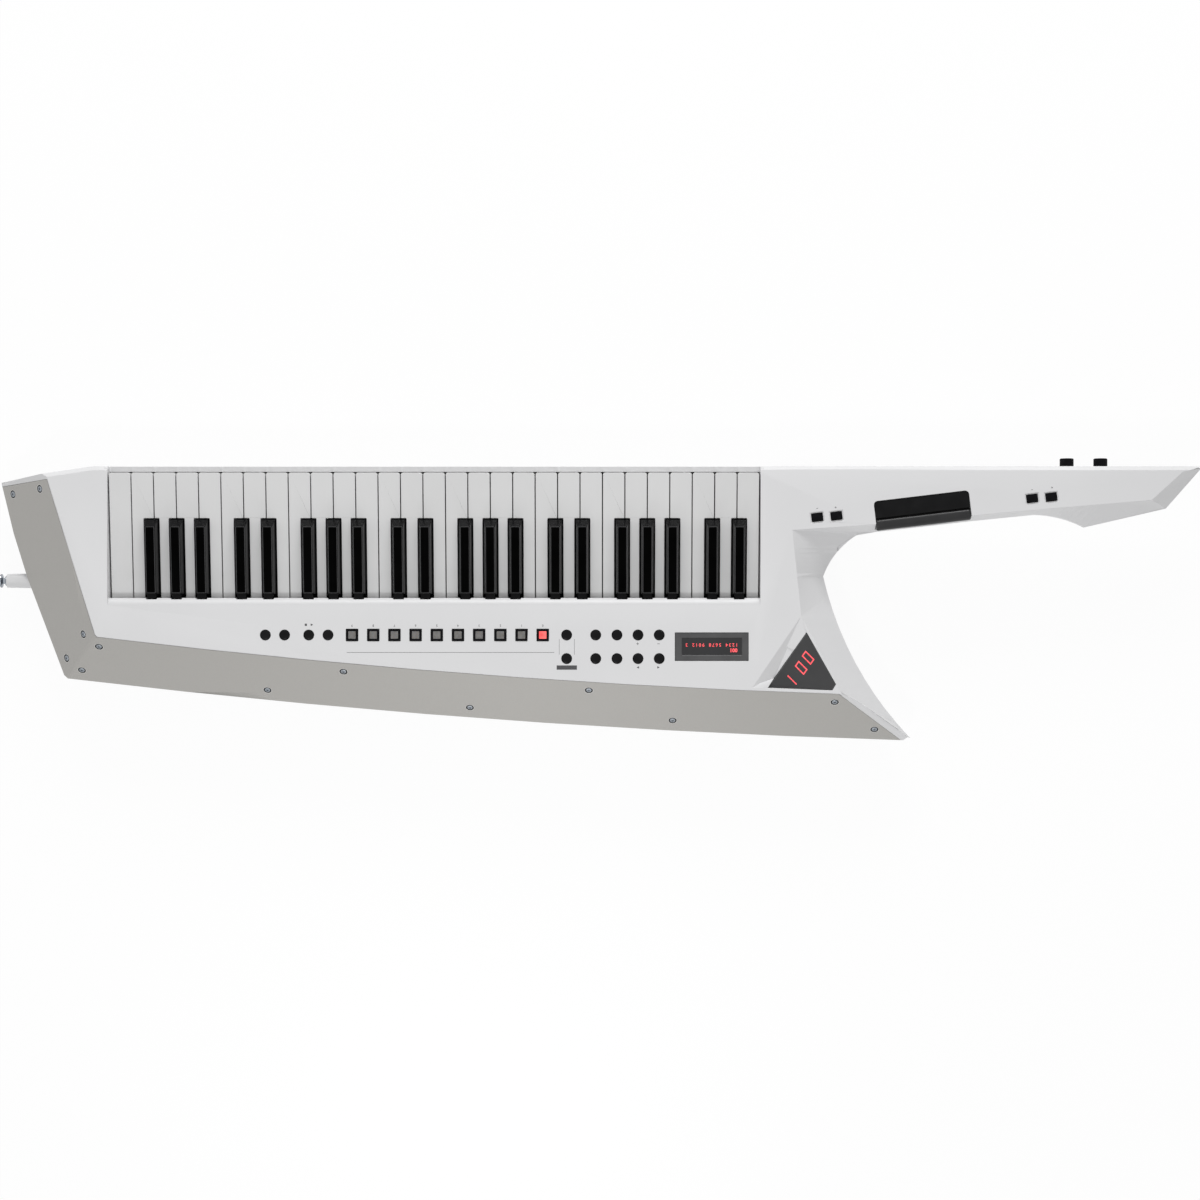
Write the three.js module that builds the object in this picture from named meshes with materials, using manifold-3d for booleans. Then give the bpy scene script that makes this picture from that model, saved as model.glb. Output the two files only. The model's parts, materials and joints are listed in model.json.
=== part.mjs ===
// A 49-key keytar lying on its back, in millimetres.
// +X runs to the neck's tip, +Y to the player's side and +Z out of the key face.
// The origin is the middle of the whole outline, on the surface that the back lies on.
import * as THREE from 'three';
import { mergeVertices } from 'three/addons/utils/BufferGeometryUtils.js';
import Module from 'manifold-3d';

const wasm = await Module();
wasm.setup();

// Clearances and working values that all pieces share
const fitGap = 0.3;
const cutOverrun = 3;
const mergeDistance = 0.001;
const roundSides = 16;
const screwSides = 12;

// Keyboard
const whiteKeyCount = 29;
const keyPitch = 23.05;
const keyGap = 1;
const keyLength = 156;
const keyTail = 8;
const keyHeight = 15;
const keyWall = 2.2;
const keyTopAbovePivot = 5;
const keyFrontDraft = 2;
const keyTopChamfer = 0.8;
const keyTiltDegrees = 7;
const keyFrontDrop = 0.5;
const keyFrontGap = 1.2;
const wellSideGap = 0.925;
const visibleKeyLength = 128.7;
const keyHollowStart = 12;
const keyRoof = 3;
const blackKeyWidth = 13.8;
const blackKeyTopWidth = 10;
const blackKeyRise = 12;
const blackKeyVisibleLength = 82;
const blackKeySkirt = 4;
const blackKeySide = 1;
const blackKeyFrontSlope = 6;
const blackKeyRearSlope = 2.5;
const blackKeyFullStart = 4.3;
const blackKeyTabWidth = 9.5;
const blackKeyTabRise = 4;
const blackKeyTabLength = 8;
const blackKeyHeelRise = 10;
const blackKeyHeelStart = 0.85;
const blackKeyClearance = 1.2;
const blackKeyShiftShares = { 1: -0.12, 2: 0, 3: 0.12, 5: -0.1, 6: 0.1 };
const keysPerOctave = 7;

// Case, from end to end, side to side and back to face
const strapReach = 3.6;
const leftEndLength = 120.6;
const neckLength = 457.5;
const panelDepth = 141.7;
const knobReach = 8.4;
const caseHeight = 78;
const partingHeight = 30;
const neckThickness = 40;
const wall = 3;
const edgeChamfer = 4.3;
const hornDrop = 28;
const neckDrop = 22;

// Case outline: shares of the left end's or the neck's length, and of the case's depth
const leftShoulderShares = [0.88, 1];
const farCornerShares = [0, 0.947];
const bladeFootShares = [[0.007, 0.932], [0.111, 0.753], [0.226, 0.596], [0.542, 0.24], [0.576, 0.227]];
const bladeCrestShares = [[0.484, 0.952], [0.59, 0.806], [0.683, 0.677], [0.892, 0.39], [0.909, 0.382]];
const bladeTipShares = [0.333, 0];
const crestEndShares = [0.176, 0.176];
const hornTipShares = [0.343, 0.013];
const hornCuspShares = [0.146, 0.602];
const neckRootShares = [0.22, 0.752];
const neckEdgeShares = [[0.267, 0.765], [0.481, 0.804], [0.623, 0.827]];
const headCuspShares = [0.737, 0.781];
const headCornerShares = [0.92, 0.849];
const neckTipShares = [1, 0.995];
const neckTopShares = [0.993, 1];
const hornCreaseShares = [
  [0.176, 0.193], [0.152, 0.265], [0.13, 0.335], [0.109, 0.402], [0.091, 0.459], [0.082, 0.599],
];
const throatCreaseShares = [0.071, 0.769];
const neckCreaseShares = [[0.252, 0.789], [0.475, 0.821], [0.617, 0.842]];
const cuspCreaseShares = [0.79, 0.865];
const headCreaseShares = [[0.877, 0.877], [0.948, 0.98], [0.967, 0.986]];
const longEdgeRise = 9.7;
const crestRise = 8.3;
const hornRise = 13;
const throatRise = 4.7;
const headRise = 3.2;
const longEdgeSegments = 7;
const hornSegments = 10;
const throatSegments = 10;
const headSegments = 8;

// Edge blade
const bladeThickness = 3.5;
const bladeEndRim = 2.5;
const rimWidth = 1.2;
const rimDrop = 0.8;
const screwHeadRadius = 4;
const screwHeadDepth = 1.6;
const screwShankRadius = 1.8;
const leftScrewShares = [
  [0.119, 0.904], [0.406, 0.919], [0.774, 0.392], [0.912, 0.347], [0.581, 0.303], [0.717, 0.259],
];
const midScrewShares = [
  [0.2375, 0.186], [0.36, 0.2565], [0.552, 0.122], [0.737, 0.189], [0.867, 0.075],
];
const hornScrewShares = [[0.168, 0.146], [0.2645, 0.042]];

// Back of the case
const backFlankDrop = 3;
const backFlankShare = 0.8;
const backEdgeDrop = 10;
const backEdgeInset = 20;
const hornBackInset = 14;
const neckBackChamfer = 8;
const neckStepShare = 0.178;
const rootLean = 14;
const rootSlopeLength = 24;
const jackBayLength = 120;
const jackBayWidth = 42;
const jackBayDepth = 16;
const jackBayShares = [0.16, 0.6];
const batteryLidLength = 156;
const batteryLidWidth = 62;
const batteryLidShares = [0.74, 0.62];
const lidGrooveWidth = 0.8;
const lidGrooveDepth = 1.2;
const backScrewRadius = 3.6;
const backScrewDepth = 1.5;
const backScrewShares = [
  [0.03, 0.84], [0.3, 0.905], [0.52, 0.905], [0.74, 0.905], [0.97, 0.905],
  [0.08, 0.46], [0.32, 0.37], [0.57, 0.32], [0.8, 0.28], [1.12, 0.24],
];
const neckScrewShares = [[0.4, 0.9], [0.63, 0.905], [0.85, 0.925]];

// Key well
const frontRailDepth = 5.5;
const frontRailDrop = 12;
const frontRailThickness = 4;
const rearBevelDepth = 7.1;
const rearBevelDrop = 7;
const wellFlangeHeight = 20;
const heelNotchDepth = 1.4;
const heelNotchGap = 0.6;
const heelNotchFlare = 0.8;

// Panel buttons: two rows of round ones, one row of square pads
const buttonRowShares = [0.2181, 0.3889];
const roundButtonRadius = 5.25;
const padWidth = 12;
const padCount = 10;
const buttonProud = 0.9;
const buttonGap = 0.35;
const buttonTravel = 0.8;
const matThickness = 2;
const matWidth = 17;
const neckMatDrop = 10;
const padRowShares = [0.3747, 0.6665];
const leftRoundShares = [0.242, 0.2714, 0.3085, 0.3379];
const favouriteShare = 0.7031;
const menuShares = [0.7476, 0.7801, 0.8123, 0.8448];

// Displays
const textDisplayLength = 75.7;
const textDisplayDepth = 29.3;
const textDisplayFromButton = 16;
const textDisplayShare = 0.303;
const displayRecess = 1.5;
const windowShares = [[0.103, 0.4], [0.016, 0.199], [0.161, 0.19], [0.169, 0.212]];
const recessApexShares = [0.091, 0.459];
const recessCornerShares = [-0.019, 0.199];
const recessDepth = 7;
const recessApexDepth = 1;
const recessFacetShares = [[0.93, 0.3], [0.83, 1]];

// Main circuit board
const boardThickness = 1.6;
const boardDrop = 15;
const boardMargin = 12;
const boardRearMargin = 17;
const bossRadius = 2.5;
const bossFromRow = 13;
const bossShares = [0.245, 0.46, 0.69, 0.91];

// Neck controls
const neckSlopeDegrees = 6.8;
const neckButtonLength = 11.3;
const neckButtonWidth = 8.1;
const neckButtonRim = 1.4;
const neckButtonRimDepth = 0.7;
const neckButtonShares = [[0.127, 0.815], [0.17, 0.82], [0.609, 0.883], [0.652, 0.888]];
const neckMatWidth = 10;
const neckMatShare = 0.945;
const barLength = 98.4;
const barOpeningDepth = 30.9;
const barCornerRadius = 4;
const barCornerSegments = 3;
const barCornerShares = [0.261, 0.764];
const barRadius = 6.6;
const barPlateThickness = 3;
const barRecess = 1;
const barSideGap = 0.4;
const barPocketDepth = 18;
const knobRadius = 7.1;
const knobDrop = 14;
const knobShaftRadius = 3;
const knobShaftLength = 12;
const knobSides = 20;
const knobShares = [0.692, 0.768];

// Strap boss and pin
const strapAxisDrop = 10;
const strapAxisShare = 0.587;
const strapBossRadius = 7.9;
const strapBossTipRadius = 7.2;
const strapBossReach = 7.5;
const strapBossRoot = 45;
const strapHeadRadius = 7.3;
const strapHeadThickness = 2.6;
const strapNeckRadius = 3.2;
const strapShankRadius = 2.2;
const strapShankLength = 14;

// Key chassis
const chassisDrop = 25.5;
const chassisThickness = 3;
const chassisSetback = 6;
const chassisRear = 14;
const pivotRailWidth = 8;
const stopRailWidth = 8;
const stopRailSetback = 34;
const stopRailHeight = 2.9;
const pivotPlay = 0.5;
const ribCount = 5;
const ribThickness = 3;
const ribMargin = 30;
const ribInset = 6;
const ribFootSetback = 10;

// Values worked out from the ones above
const wellLength = whiteKeyCount * keyPitch + 2 * wellSideGap;
const wellDepth = rearBevelDepth + visibleKeyLength + keyFrontGap + frontRailDepth;
const caseDepth = panelDepth + wellDepth;
const neckPartingHeight = caseHeight - neckDrop;
const neckBackHeight = caseHeight - neckThickness;
const overallLength = strapReach + leftEndLength + wellLength + neckLength;
const overallDepth = caseDepth + knobReach;
const strapEndX = -overallLength / 2;
const bladeTipY = -overallDepth / 2;
const playerY = bladeTipY + caseDepth;
const leftZone = { start: strapEndX + strapReach, length: leftEndLength };
const wellZone = { start: leftZone.start + leftEndLength, length: wellLength };
const neckZone = { start: wellZone.start + wellLength, length: neckLength };
const keyTilt = THREE.MathUtils.degToRad(keyTiltDegrees);
const neckSlope = THREE.MathUtils.degToRad(neckSlopeDegrees);
const keyFrontY = playerY - frontRailDepth - keyFrontGap;
const wellLowY = keyFrontY - visibleKeyLength;
const wellRimY = wellLowY - rearBevelDepth;
const pivotY = keyFrontY - keyLength * Math.cos(keyTilt) + keyTopAbovePivot * Math.sin(keyTilt);
const keyFrontZ = caseHeight - keyFrontDrop;
const pivotZ = keyFrontZ - keyLength * Math.sin(keyTilt) - keyTopAbovePivot * Math.cos(keyTilt);
const [buttonRowY, secondRowY] = buttonRowShares.map((share) => wellRimY - share * panelDepth);
const boardTop = caseHeight - boardDrop;
const neckStepX = neckZone.start + neckStepShare * neckLength;
const strapAxisY = bladeTipY + strapAxisShare * caseDepth;
const strapAxisZ = partingHeight - strapAxisDrop;
const backEdgeHeight = partingHeight - backEdgeDrop;
const frontRailHeight = caseHeight - frontRailDrop;
const knobHeight = caseHeight - knobDrop;

// Places in the plan
function place(zone, [shareX, shareY]) {
  return new THREE.Vector2(zone.start + shareX * zone.length, bladeTipY + shareY * caseDepth);
}

function placeAll(zone, shares) {
  return shares.map((share) => place(zone, share));
}

function at(point, z) {
  return new THREE.Vector3(point.x, point.y, z);
}

// Points on an arc from one point to another that rises to the right of the way
function bow(from, to, rise, segments) {
  const chord = to.clone().sub(from);
  const half = chord.length() / 2;
  const radius = (half * half + rise * rise) / (2 * rise);
  const right = new THREE.Vector2(chord.y, -chord.x).normalize();
  const centre = from.clone().add(to).multiplyScalar(0.5).addScaledVector(right, rise - radius);
  const sweep = 2 * Math.asin(half / radius);
  const points = [];
  for (let step = 0; step <= segments; step += 1) {
    const turn = sweep * (step / segments);
    points.push(from.clone().rotateAround(centre, turn));
  }
  return points;
}

// Points at equal steps along the line through the given ones
function spread(points, segments) {
  const spans = points.length - 1;
  return Array.from({ length: segments + 1 }, (_, step) => {
    const reach = spans * (step / segments);
    const span = Math.min(Math.floor(reach), spans - 1);
    return points[span].clone().lerp(points[span + 1], reach - span);
  });
}

// The outline moved inwards by a distance, each corner on its mitre
function inset(points, distance) {
  return points.map((point, index) => {
    const before = points[(index + points.length - 1) % points.length];
    const after = points[(index + 1) % points.length];
    const inWay = point.clone().sub(before).normalize();
    const outWay = after.clone().sub(point).normalize();
    const mitre = new THREE.Vector2(-inWay.y - outWay.y, inWay.x + outWay.x).normalize();
    const spread = -mitre.x * inWay.y + mitre.y * inWay.x;
    return point.clone().addScaledVector(mitre, distance / spread);
  });
}

// Solids and geometries
function solidOf(geometry) {
  const plain = geometry.clone();
  plain.deleteAttribute('normal');
  plain.deleteAttribute('uv');
  const merged = mergeVertices(plain, mergeDistance);
  return new wasm.Manifold(new wasm.Mesh({
    numProp: 3,
    vertProperties: new Float32Array(merged.attributes.position.array),
    triVerts: new Uint32Array(merged.index.array),
  }));
}

function geometryOf(solid) {
  const mesh = solid.getMesh();
  const geometry = new THREE.BufferGeometry();
  geometry.setAttribute('position', new THREE.BufferAttribute(new Float32Array(mesh.vertProperties), 3));
  geometry.setIndex(new THREE.BufferAttribute(new Uint32Array(mesh.triVerts), 1));
  const flat = geometry.toNonIndexed();
  flat.computeVertexNormals();
  return flat;
}

function joined(solids) {
  return solids.reduce((whole, solid) => whole.add(solid));
}

function cutBy(solid, cutters) {
  return cutters.reduce((rest, cutter) => rest.subtract(cutter), solid);
}

function prism(points, low, high) {
  const depth = high - low;
  const geometry = new THREE.ExtrudeGeometry(new THREE.Shape(points), { depth, bevelEnabled: false });
  return solidOf(geometry.translate(0, 0, low));
}

function block(x, y, z) {
  const geometry = new THREE.BoxGeometry(x[1] - x[0], y[1] - y[0], z[1] - z[0]);
  return solidOf(geometry.translate((x[0] + x[1]) / 2, (y[0] + y[1]) / 2, (z[0] + z[1]) / 2));
}

function rod(from, to, fromRadius, toRadius, sides) {
  const way = to.clone().sub(from);
  const geometry = new THREE.CylinderGeometry(toRadius, fromRadius, way.length(), sides);
  const turn = new THREE.Quaternion().setFromUnitVectors(new THREE.Vector3(0, 1, 0), way.normalize());
  geometry.applyQuaternion(turn);
  const middle = from.clone().add(to).multiplyScalar(0.5);
  return solidOf(geometry.translate(middle.x, middle.y, middle.z));
}

// A slab between the ruled surface of the ribs and the same surface moved up or down by lift
function ruledSlab(ribs, lift) {
  const positions = [];
  const faces = [];
  for (const [inner, outer] of ribs) {
    positions.push(inner.x, inner.y, inner.z, outer.x, outer.y, outer.z);
    positions.push(outer.x, outer.y, outer.z + lift, inner.x, inner.y, inner.z + lift);
  }
  const quad = (a, b, c, d) => faces.push(a, b, c, a, c, d);
  for (let rib = 0; rib < ribs.length - 1; rib += 1) {
    const here = rib * 4;
    const next = here + 4;
    quad(here, here + 1, next + 1, next);
    quad(here + 1, here + 2, next + 2, next + 1);
    faces.push(here + 3, next + 2, here + 2, here + 3, next + 3, next + 2);
    quad(here, next, next + 3, here + 3);
  }
  const last = (ribs.length - 1) * 4;
  quad(0, 3, 2, 1);
  quad(last, last + 1, last + 2, last + 3);
  const geometry = new THREE.BufferGeometry();
  geometry.setAttribute('position', new THREE.Float32BufferAttribute(positions, 3));
  geometry.setIndex(faces);
  return outwards(geometry);
}

// The faces turned so that the solid's volume is positive
function outwards(geometry) {
  const corner = [new THREE.Vector3(), new THREE.Vector3(), new THREE.Vector3()];
  const index = geometry.index.array;
  const { position } = geometry.attributes;
  let volume = 0;
  for (let face = 0; face < index.length; face += 3) {
    corner.forEach((vertex, side) => vertex.fromBufferAttribute(position, index[face + side]));
    volume += corner[0].dot(corner[1].cross(corner[2]));
  }
  if (volume < 0) geometry.setIndex([...index].reverse());
  return solidOf(geometry);
}

// Ribs made longer past their inner and outer ends, along their own slope
function stretched(ribs, inwardBy, outwardBy) {
  return ribs.map(([inner, outer]) => {
    const way = outer.clone().sub(inner);
    way.divideScalar(Math.hypot(way.x, way.y));
    return [inner.clone().addScaledVector(way, -inwardBy), outer.clone().addScaledVector(way, outwardBy)];
  });
}

// Ribs carried on past the first and the last one
function carriedOn(ribs, startBy, endBy) {
  const beyond = (rib, neighbour, by) => rib.map((point, side) => {
    const way = point.clone().sub(neighbour[side]).normalize();
    return point.clone().addScaledVector(way, by);
  });
  const start = startBy > 0 ? [beyond(ribs[0], ribs[1], startBy)] : [];
  const end = endBy > 0 ? [beyond(ribs.at(-1), ribs.at(-2), endBy)] : [];
  return [...start, ...ribs, ...end];
}

function lowered(ribs, by) {
  return ribs.map((rib) => rib.map((point) => point.clone().setZ(point.z - by)));
}

// Case outline in the plan, counter-clockwise from the left shoulder
const leftShoulder = place(leftZone, leftShoulderShares);
const farCorner = place(leftZone, farCornerShares);
const footCorners = placeAll(leftZone, bladeFootShares);
const crestCorners = placeAll(leftZone, bladeCrestShares);
const bladeTip = place(neckZone, bladeTipShares);
const crestEnd = place(neckZone, crestEndShares);
const longEdge = bow(footCorners[footCorners.length - 1], bladeTip, longEdgeRise, longEdgeSegments);
const crestArc = bow(crestCorners[crestCorners.length - 1], crestEnd, crestRise, longEdgeSegments);
const bladeFoot = [...footCorners.slice(0, -1), ...longEdge];
const bladeCrest = [...crestCorners.slice(0, -1), ...crestArc];
const hornTip = place(neckZone, hornTipShares);
const hornCusp = place(neckZone, hornCuspShares);
const neckRoot = place(neckZone, neckRootShares);
const neckEdge = placeAll(neckZone, neckEdgeShares);
const headCusp = place(neckZone, headCuspShares);
const headCorner = place(neckZone, headCornerShares);
const neckTip = place(neckZone, neckTipShares);
const neckTop = place(neckZone, neckTopShares);
const hornEdge = bow(hornTip, hornCusp, -hornRise, hornSegments);
const throat = bow(hornCusp, neckRoot, -throatRise, throatSegments);
const headEdge = bow(neckEdge[neckEdge.length - 1], headCusp, -headRise, headSegments);
const bodyEdge = [leftShoulder, farCorner, ...bladeFoot, ...hornEdge, ...throat.slice(1)];
const neckSide = [...neckEdge.slice(0, -1), ...headEdge, headCorner];
const caseOutline = [...bodyEdge, ...neckSide, neckTip, neckTop];

// Slopes of the face: pairs of an upper point and a lower one
const slopeRibs = bladeCrest.map((crest, rib) => [
  at(crest, caseHeight - rimDrop),
  at(bladeFoot[rib], partingHeight),
]);
const bladeRibs = slopeRibs.map(([crest, foot]) => [crest.clone(), foot.clone()]);
bladeRibs[bladeRibs.length - 1][1].x -= bladeEndRim;
const rimRibs = bladeCrest.map((crest, rib) => {
  const inward = crest.clone().sub(bladeFoot[rib]).normalize();
  return [at(crest.clone().addScaledVector(inward, rimWidth), caseHeight), at(crest, caseHeight - rimDrop)];
});
const hornCreaseStart = spread(placeAll(neckZone, hornCreaseShares), hornSegments);
const throatCreaseEnds = [hornCreaseStart.at(-1), place(neckZone, throatCreaseShares)];
const hornCrease = [
  ...hornCreaseStart,
  ...spread(throatCreaseEnds, throatSegments).slice(1),
  ...placeAll(neckZone, neckCreaseShares),
];
const headCreaseEnds = [hornCrease.at(-1), place(neckZone, cuspCreaseShares)];
const headCrease = [
  ...spread(headCreaseEnds, headSegments).slice(1),
  ...placeAll(neckZone, headCreaseShares),
];
const hornBrow = [...hornEdge, ...throat.slice(1), ...neckEdge];
const hornRibs = hornCrease.map((crease, rib) => {
  const throatEnd = hornEdge.length + throat.length - 1;
  const easing = THREE.MathUtils.clamp((rib + 1 - hornEdge.length) / (throatEnd - hornEdge.length), 0, 1);
  const drop = THREE.MathUtils.lerp(hornDrop, neckDrop, easing);
  return [at(crease, caseHeight), at(hornBrow[rib], caseHeight - drop)];
});
const headBrow = [...headEdge.slice(1), headCorner, neckTip, neckTop];
const headRibs = [
  hornRibs[hornRibs.length - 1],
  ...headCrease.map((crease, rib) => [at(crease, caseHeight), at(headBrow[rib], caseHeight - neckDrop)]),
];
const playerEdgeRibs = [leftShoulder.x, neckTop.x].map((x) => [
  new THREE.Vector3(x, playerY - edgeChamfer, caseHeight),
  new THREE.Vector3(x, playerY, caseHeight - edgeChamfer),
]);
const endWay = farCorner.clone().sub(leftShoulder).normalize();
const endInward = new THREE.Vector2(-endWay.y, endWay.x).multiplyScalar(edgeChamfer);
const endEdgeRibs = [leftShoulder, farCorner].map((point) => [
  at(point.clone().add(endInward), caseHeight),
  at(point, caseHeight - edgeChamfer),
]);

// Cutters that take away all that is above, or below, the surface of the ribs
function above(ribs) {
  return ruledSlab(ribs, caseHeight);
}

function below(ribs) {
  return ruledSlab(ribs, -caseHeight);
}

// A prism whose outline is given in Y and Z, from one X to another
function upright(points, from, to) {
  const depth = to - from;
  const geometry = new THREE.ExtrudeGeometry(new THREE.Shape(points), { depth, bevelEnabled: false });
  const turn = new THREE.Matrix4().makeBasis(
    new THREE.Vector3(0, 1, 0),
    new THREE.Vector3(0, 0, 1),
    new THREE.Vector3(1, 0, 0),
  );
  return solidOf(geometry.translate(0, 0, from).applyMatrix4(turn));
}

// A block whose top face has its own length and width
function taperedBlock(low, high, z) {
  const geometry = new THREE.BoxGeometry(1, 1, 1);
  const corners = geometry.attributes.position;
  for (let corner = 0; corner < corners.count; corner += 1) {
    const level = corners.getZ(corner) > 0 ? high : low;
    const x = level.x[corners.getX(corner) > 0 ? 1 : 0];
    const y = level.y[corners.getY(corner) > 0 ? 1 : 0];
    corners.setXYZ(corner, x, y, z[corners.getZ(corner) > 0 ? 1 : 0]);
  }
  return solidOf(geometry);
}

// Height and slope of the blade's face at a place in the plan
function bladeSpot(x, y) {
  const ray = new THREE.Ray(new THREE.Vector3(x, y, 2 * caseHeight), new THREE.Vector3(0, 0, -1));
  for (let rib = 0; rib < bladeRibs.length - 1; rib += 1) {
    const [innerA, outerA] = bladeRibs[rib];
    const [innerB, outerB] = bladeRibs[rib + 1];
    for (const [a, b, c] of [[innerA, outerA, outerB], [innerA, outerB, innerB]]) {
      const point = ray.intersectTriangle(a, b, c, false, new THREE.Vector3());
      if (point) return { point, normal: new THREE.Triangle(a, b, c).getNormal(new THREE.Vector3()) };
    }
  }
  throw new Error('a screw lies beside the blade');
}

const bladeSlope = Math.atan2(caseHeight - partingHeight, crestCorners.at(-1).y - footCorners.at(-1).y);
const bladeDrop = bladeThickness / Math.cos(bladeSlope);
const wallDrop = wall * Math.SQRT2;
const seatDrop = bladeDrop + fitGap;
const bladeScrews = [
  ...placeAll(leftZone, leftScrewShares),
  ...placeAll(wellZone, midScrewShares),
  ...placeAll(neckZone, hornScrewShares),
];
const caseReach = overallLength;
const stepBlock = (gap, low, high) => block(
  [neckStepX + gap, caseReach],
  [hornCusp.y, playerY + cutOverrun],
  [low, high],
);
const slopeEnd = wall + edgeChamfer + cutOverrun;

// Panel places
const wellX = [wellZone.start, wellZone.start + wellZone.length];
const windowCorners = placeAll(neckZone, windowShares);
const [windowApex, windowLeft, , windowRight] = windowCorners;
const recessRibs = [
  [at(place(neckZone, recessApexShares), caseHeight), at(windowApex, caseHeight - recessApexDepth)],
  [at(place(neckZone, recessCornerShares), caseHeight), at(windowLeft, caseHeight - recessDepth)],
];
const recessSpot = ([along, down]) => {
  const [outer, inner] = [0, 1].map((side) => recessRibs[0][side].clone().lerp(recessRibs[1][side], along));
  return outer.lerp(inner, down);
};
const [facetOuter, facetInner] = recessFacetShares.map(recessSpot);
const recessFacetRibs = [
  [facetOuter, recessRibs[1][0]],
  [facetInner, at(windowLeft, caseHeight)],
];
const wellBevelRibs = wellX.map((x) => [
  new THREE.Vector3(x, wellRimY, caseHeight),
  new THREE.Vector3(x, wellLowY, caseHeight - rearBevelDrop),
]);
const acrossWell = (share) => wellZone.start + share * wellZone.length;
const textDisplay = new THREE.Vector2(
  acrossWell(menuShares.at(-1)) + textDisplayFromButton + textDisplayLength / 2,
  wellRimY - textDisplayShare * panelDepth,
);
const roundButtons = [
  ...leftRoundShares.map((share) => new THREE.Vector2(acrossWell(share), buttonRowY)),
  ...[favouriteShare, ...menuShares].flatMap((share) => [
    new THREE.Vector2(acrossWell(share), buttonRowY),
    new THREE.Vector2(acrossWell(share), secondRowY),
  ]),
];
const padEnds = padRowShares.map((share) => new THREE.Vector2(acrossWell(share), buttonRowY));
const pads = Array.from({ length: padCount }, (_, index) => (
  padEnds[0].clone().lerp(padEnds[1], index / (padCount - 1))
));

function roundCap(point, radius, low, high) {
  return rod(at(point, low), at(point, high), radius, radius, roundSides);
}

function squareCap(point, width, low, high) {
  const half = width / 2;
  return block([point.x - half, point.x + half], [point.y - half, point.y + half], [low, high]);
}

// A block turned with the neck's lower edge, centred on a place in the plan
function neckBlock(point, length, width, low, high) {
  const geometry = new THREE.BoxGeometry(length, width, high - low);
  geometry.rotateZ(neckSlope);
  return solidOf(geometry.translate(point.x, point.y, (low + high) / 2));
}

// The modulation bar's opening or plate, in the frame of its lower left corner
function barOutline(margin, low) {
  const left = margin;
  const right = barLength - margin;
  const top = barOpeningDepth - margin;
  const bulge = barCornerRadius * (1 - Math.SQRT1_2);
  const corner = (x1, y1, x2, y2) => (
    bow(new THREE.Vector2(x1, y1), new THREE.Vector2(x2, y2), bulge, barCornerSegments)
  );
  return [
    new THREE.Vector2(left, low),
    new THREE.Vector2(right, low),
    ...corner(right, top - barCornerRadius, right - barCornerRadius, top),
    ...corner(left + barCornerRadius, top, left, top - barCornerRadius),
  ];
}

const barCorner = place(neckZone, barCornerShares);
const barFrame = new THREE.Matrix4().makeRotationZ(neckSlope).setPosition(barCorner.x, barCorner.y, 0);
const inBarFrame = (point) => {
  const turned = new THREE.Vector3(point.x, point.y, 0).applyMatrix4(barFrame);
  return new THREE.Vector2(turned.x, turned.y);
};
const knobs = knobShares.map((share) => place(neckZone, [share, 1]));

function buttonHoles() {
  const low = caseHeight - wall - cutOverrun;
  const high = caseHeight + cutOverrun;
  return [
    ...roundButtons.map((point) => roundCap(point, roundButtonRadius + buttonGap, low, high)),
    ...pads.map((point) => squareCap(point, padWidth + 2 * buttonGap, low, high)),
  ];
}

function neckButtonHoles() {
  const high = caseHeight + cutOverrun;
  return placeAll(neckZone, neckButtonShares).flatMap((point) => [
    neckBlock(
      point,
      neckButtonLength + 2 * buttonGap,
      neckButtonWidth + 2 * buttonGap,
      caseHeight - 2 * wall,
      high,
    ),
    neckBlock(
      point,
      neckButtonLength + 2 * neckButtonRim,
      neckButtonWidth + 2 * neckButtonRim,
      caseHeight - neckButtonRimDepth,
      high,
    ),
  ]);
}

// Notches in the rear bevel's edge that the heels of the black keys stand in
function heelNotches() {
  const near = blackKeyTabWidth / 2 + heelNotchGap;
  const deep = wellLowY - heelNotchDepth;
  return blackKeyMiddles.map((middle) => prism([
    new THREE.Vector2(middle - near, deep),
    new THREE.Vector2(middle + near, deep),
    new THREE.Vector2(middle + near + heelNotchFlare, wellLowY + cutOverrun),
    new THREE.Vector2(middle - near - heelNotchFlare, wellLowY + cutOverrun),
  ], caseHeight - wellFlangeHeight, caseHeight));
}

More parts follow.
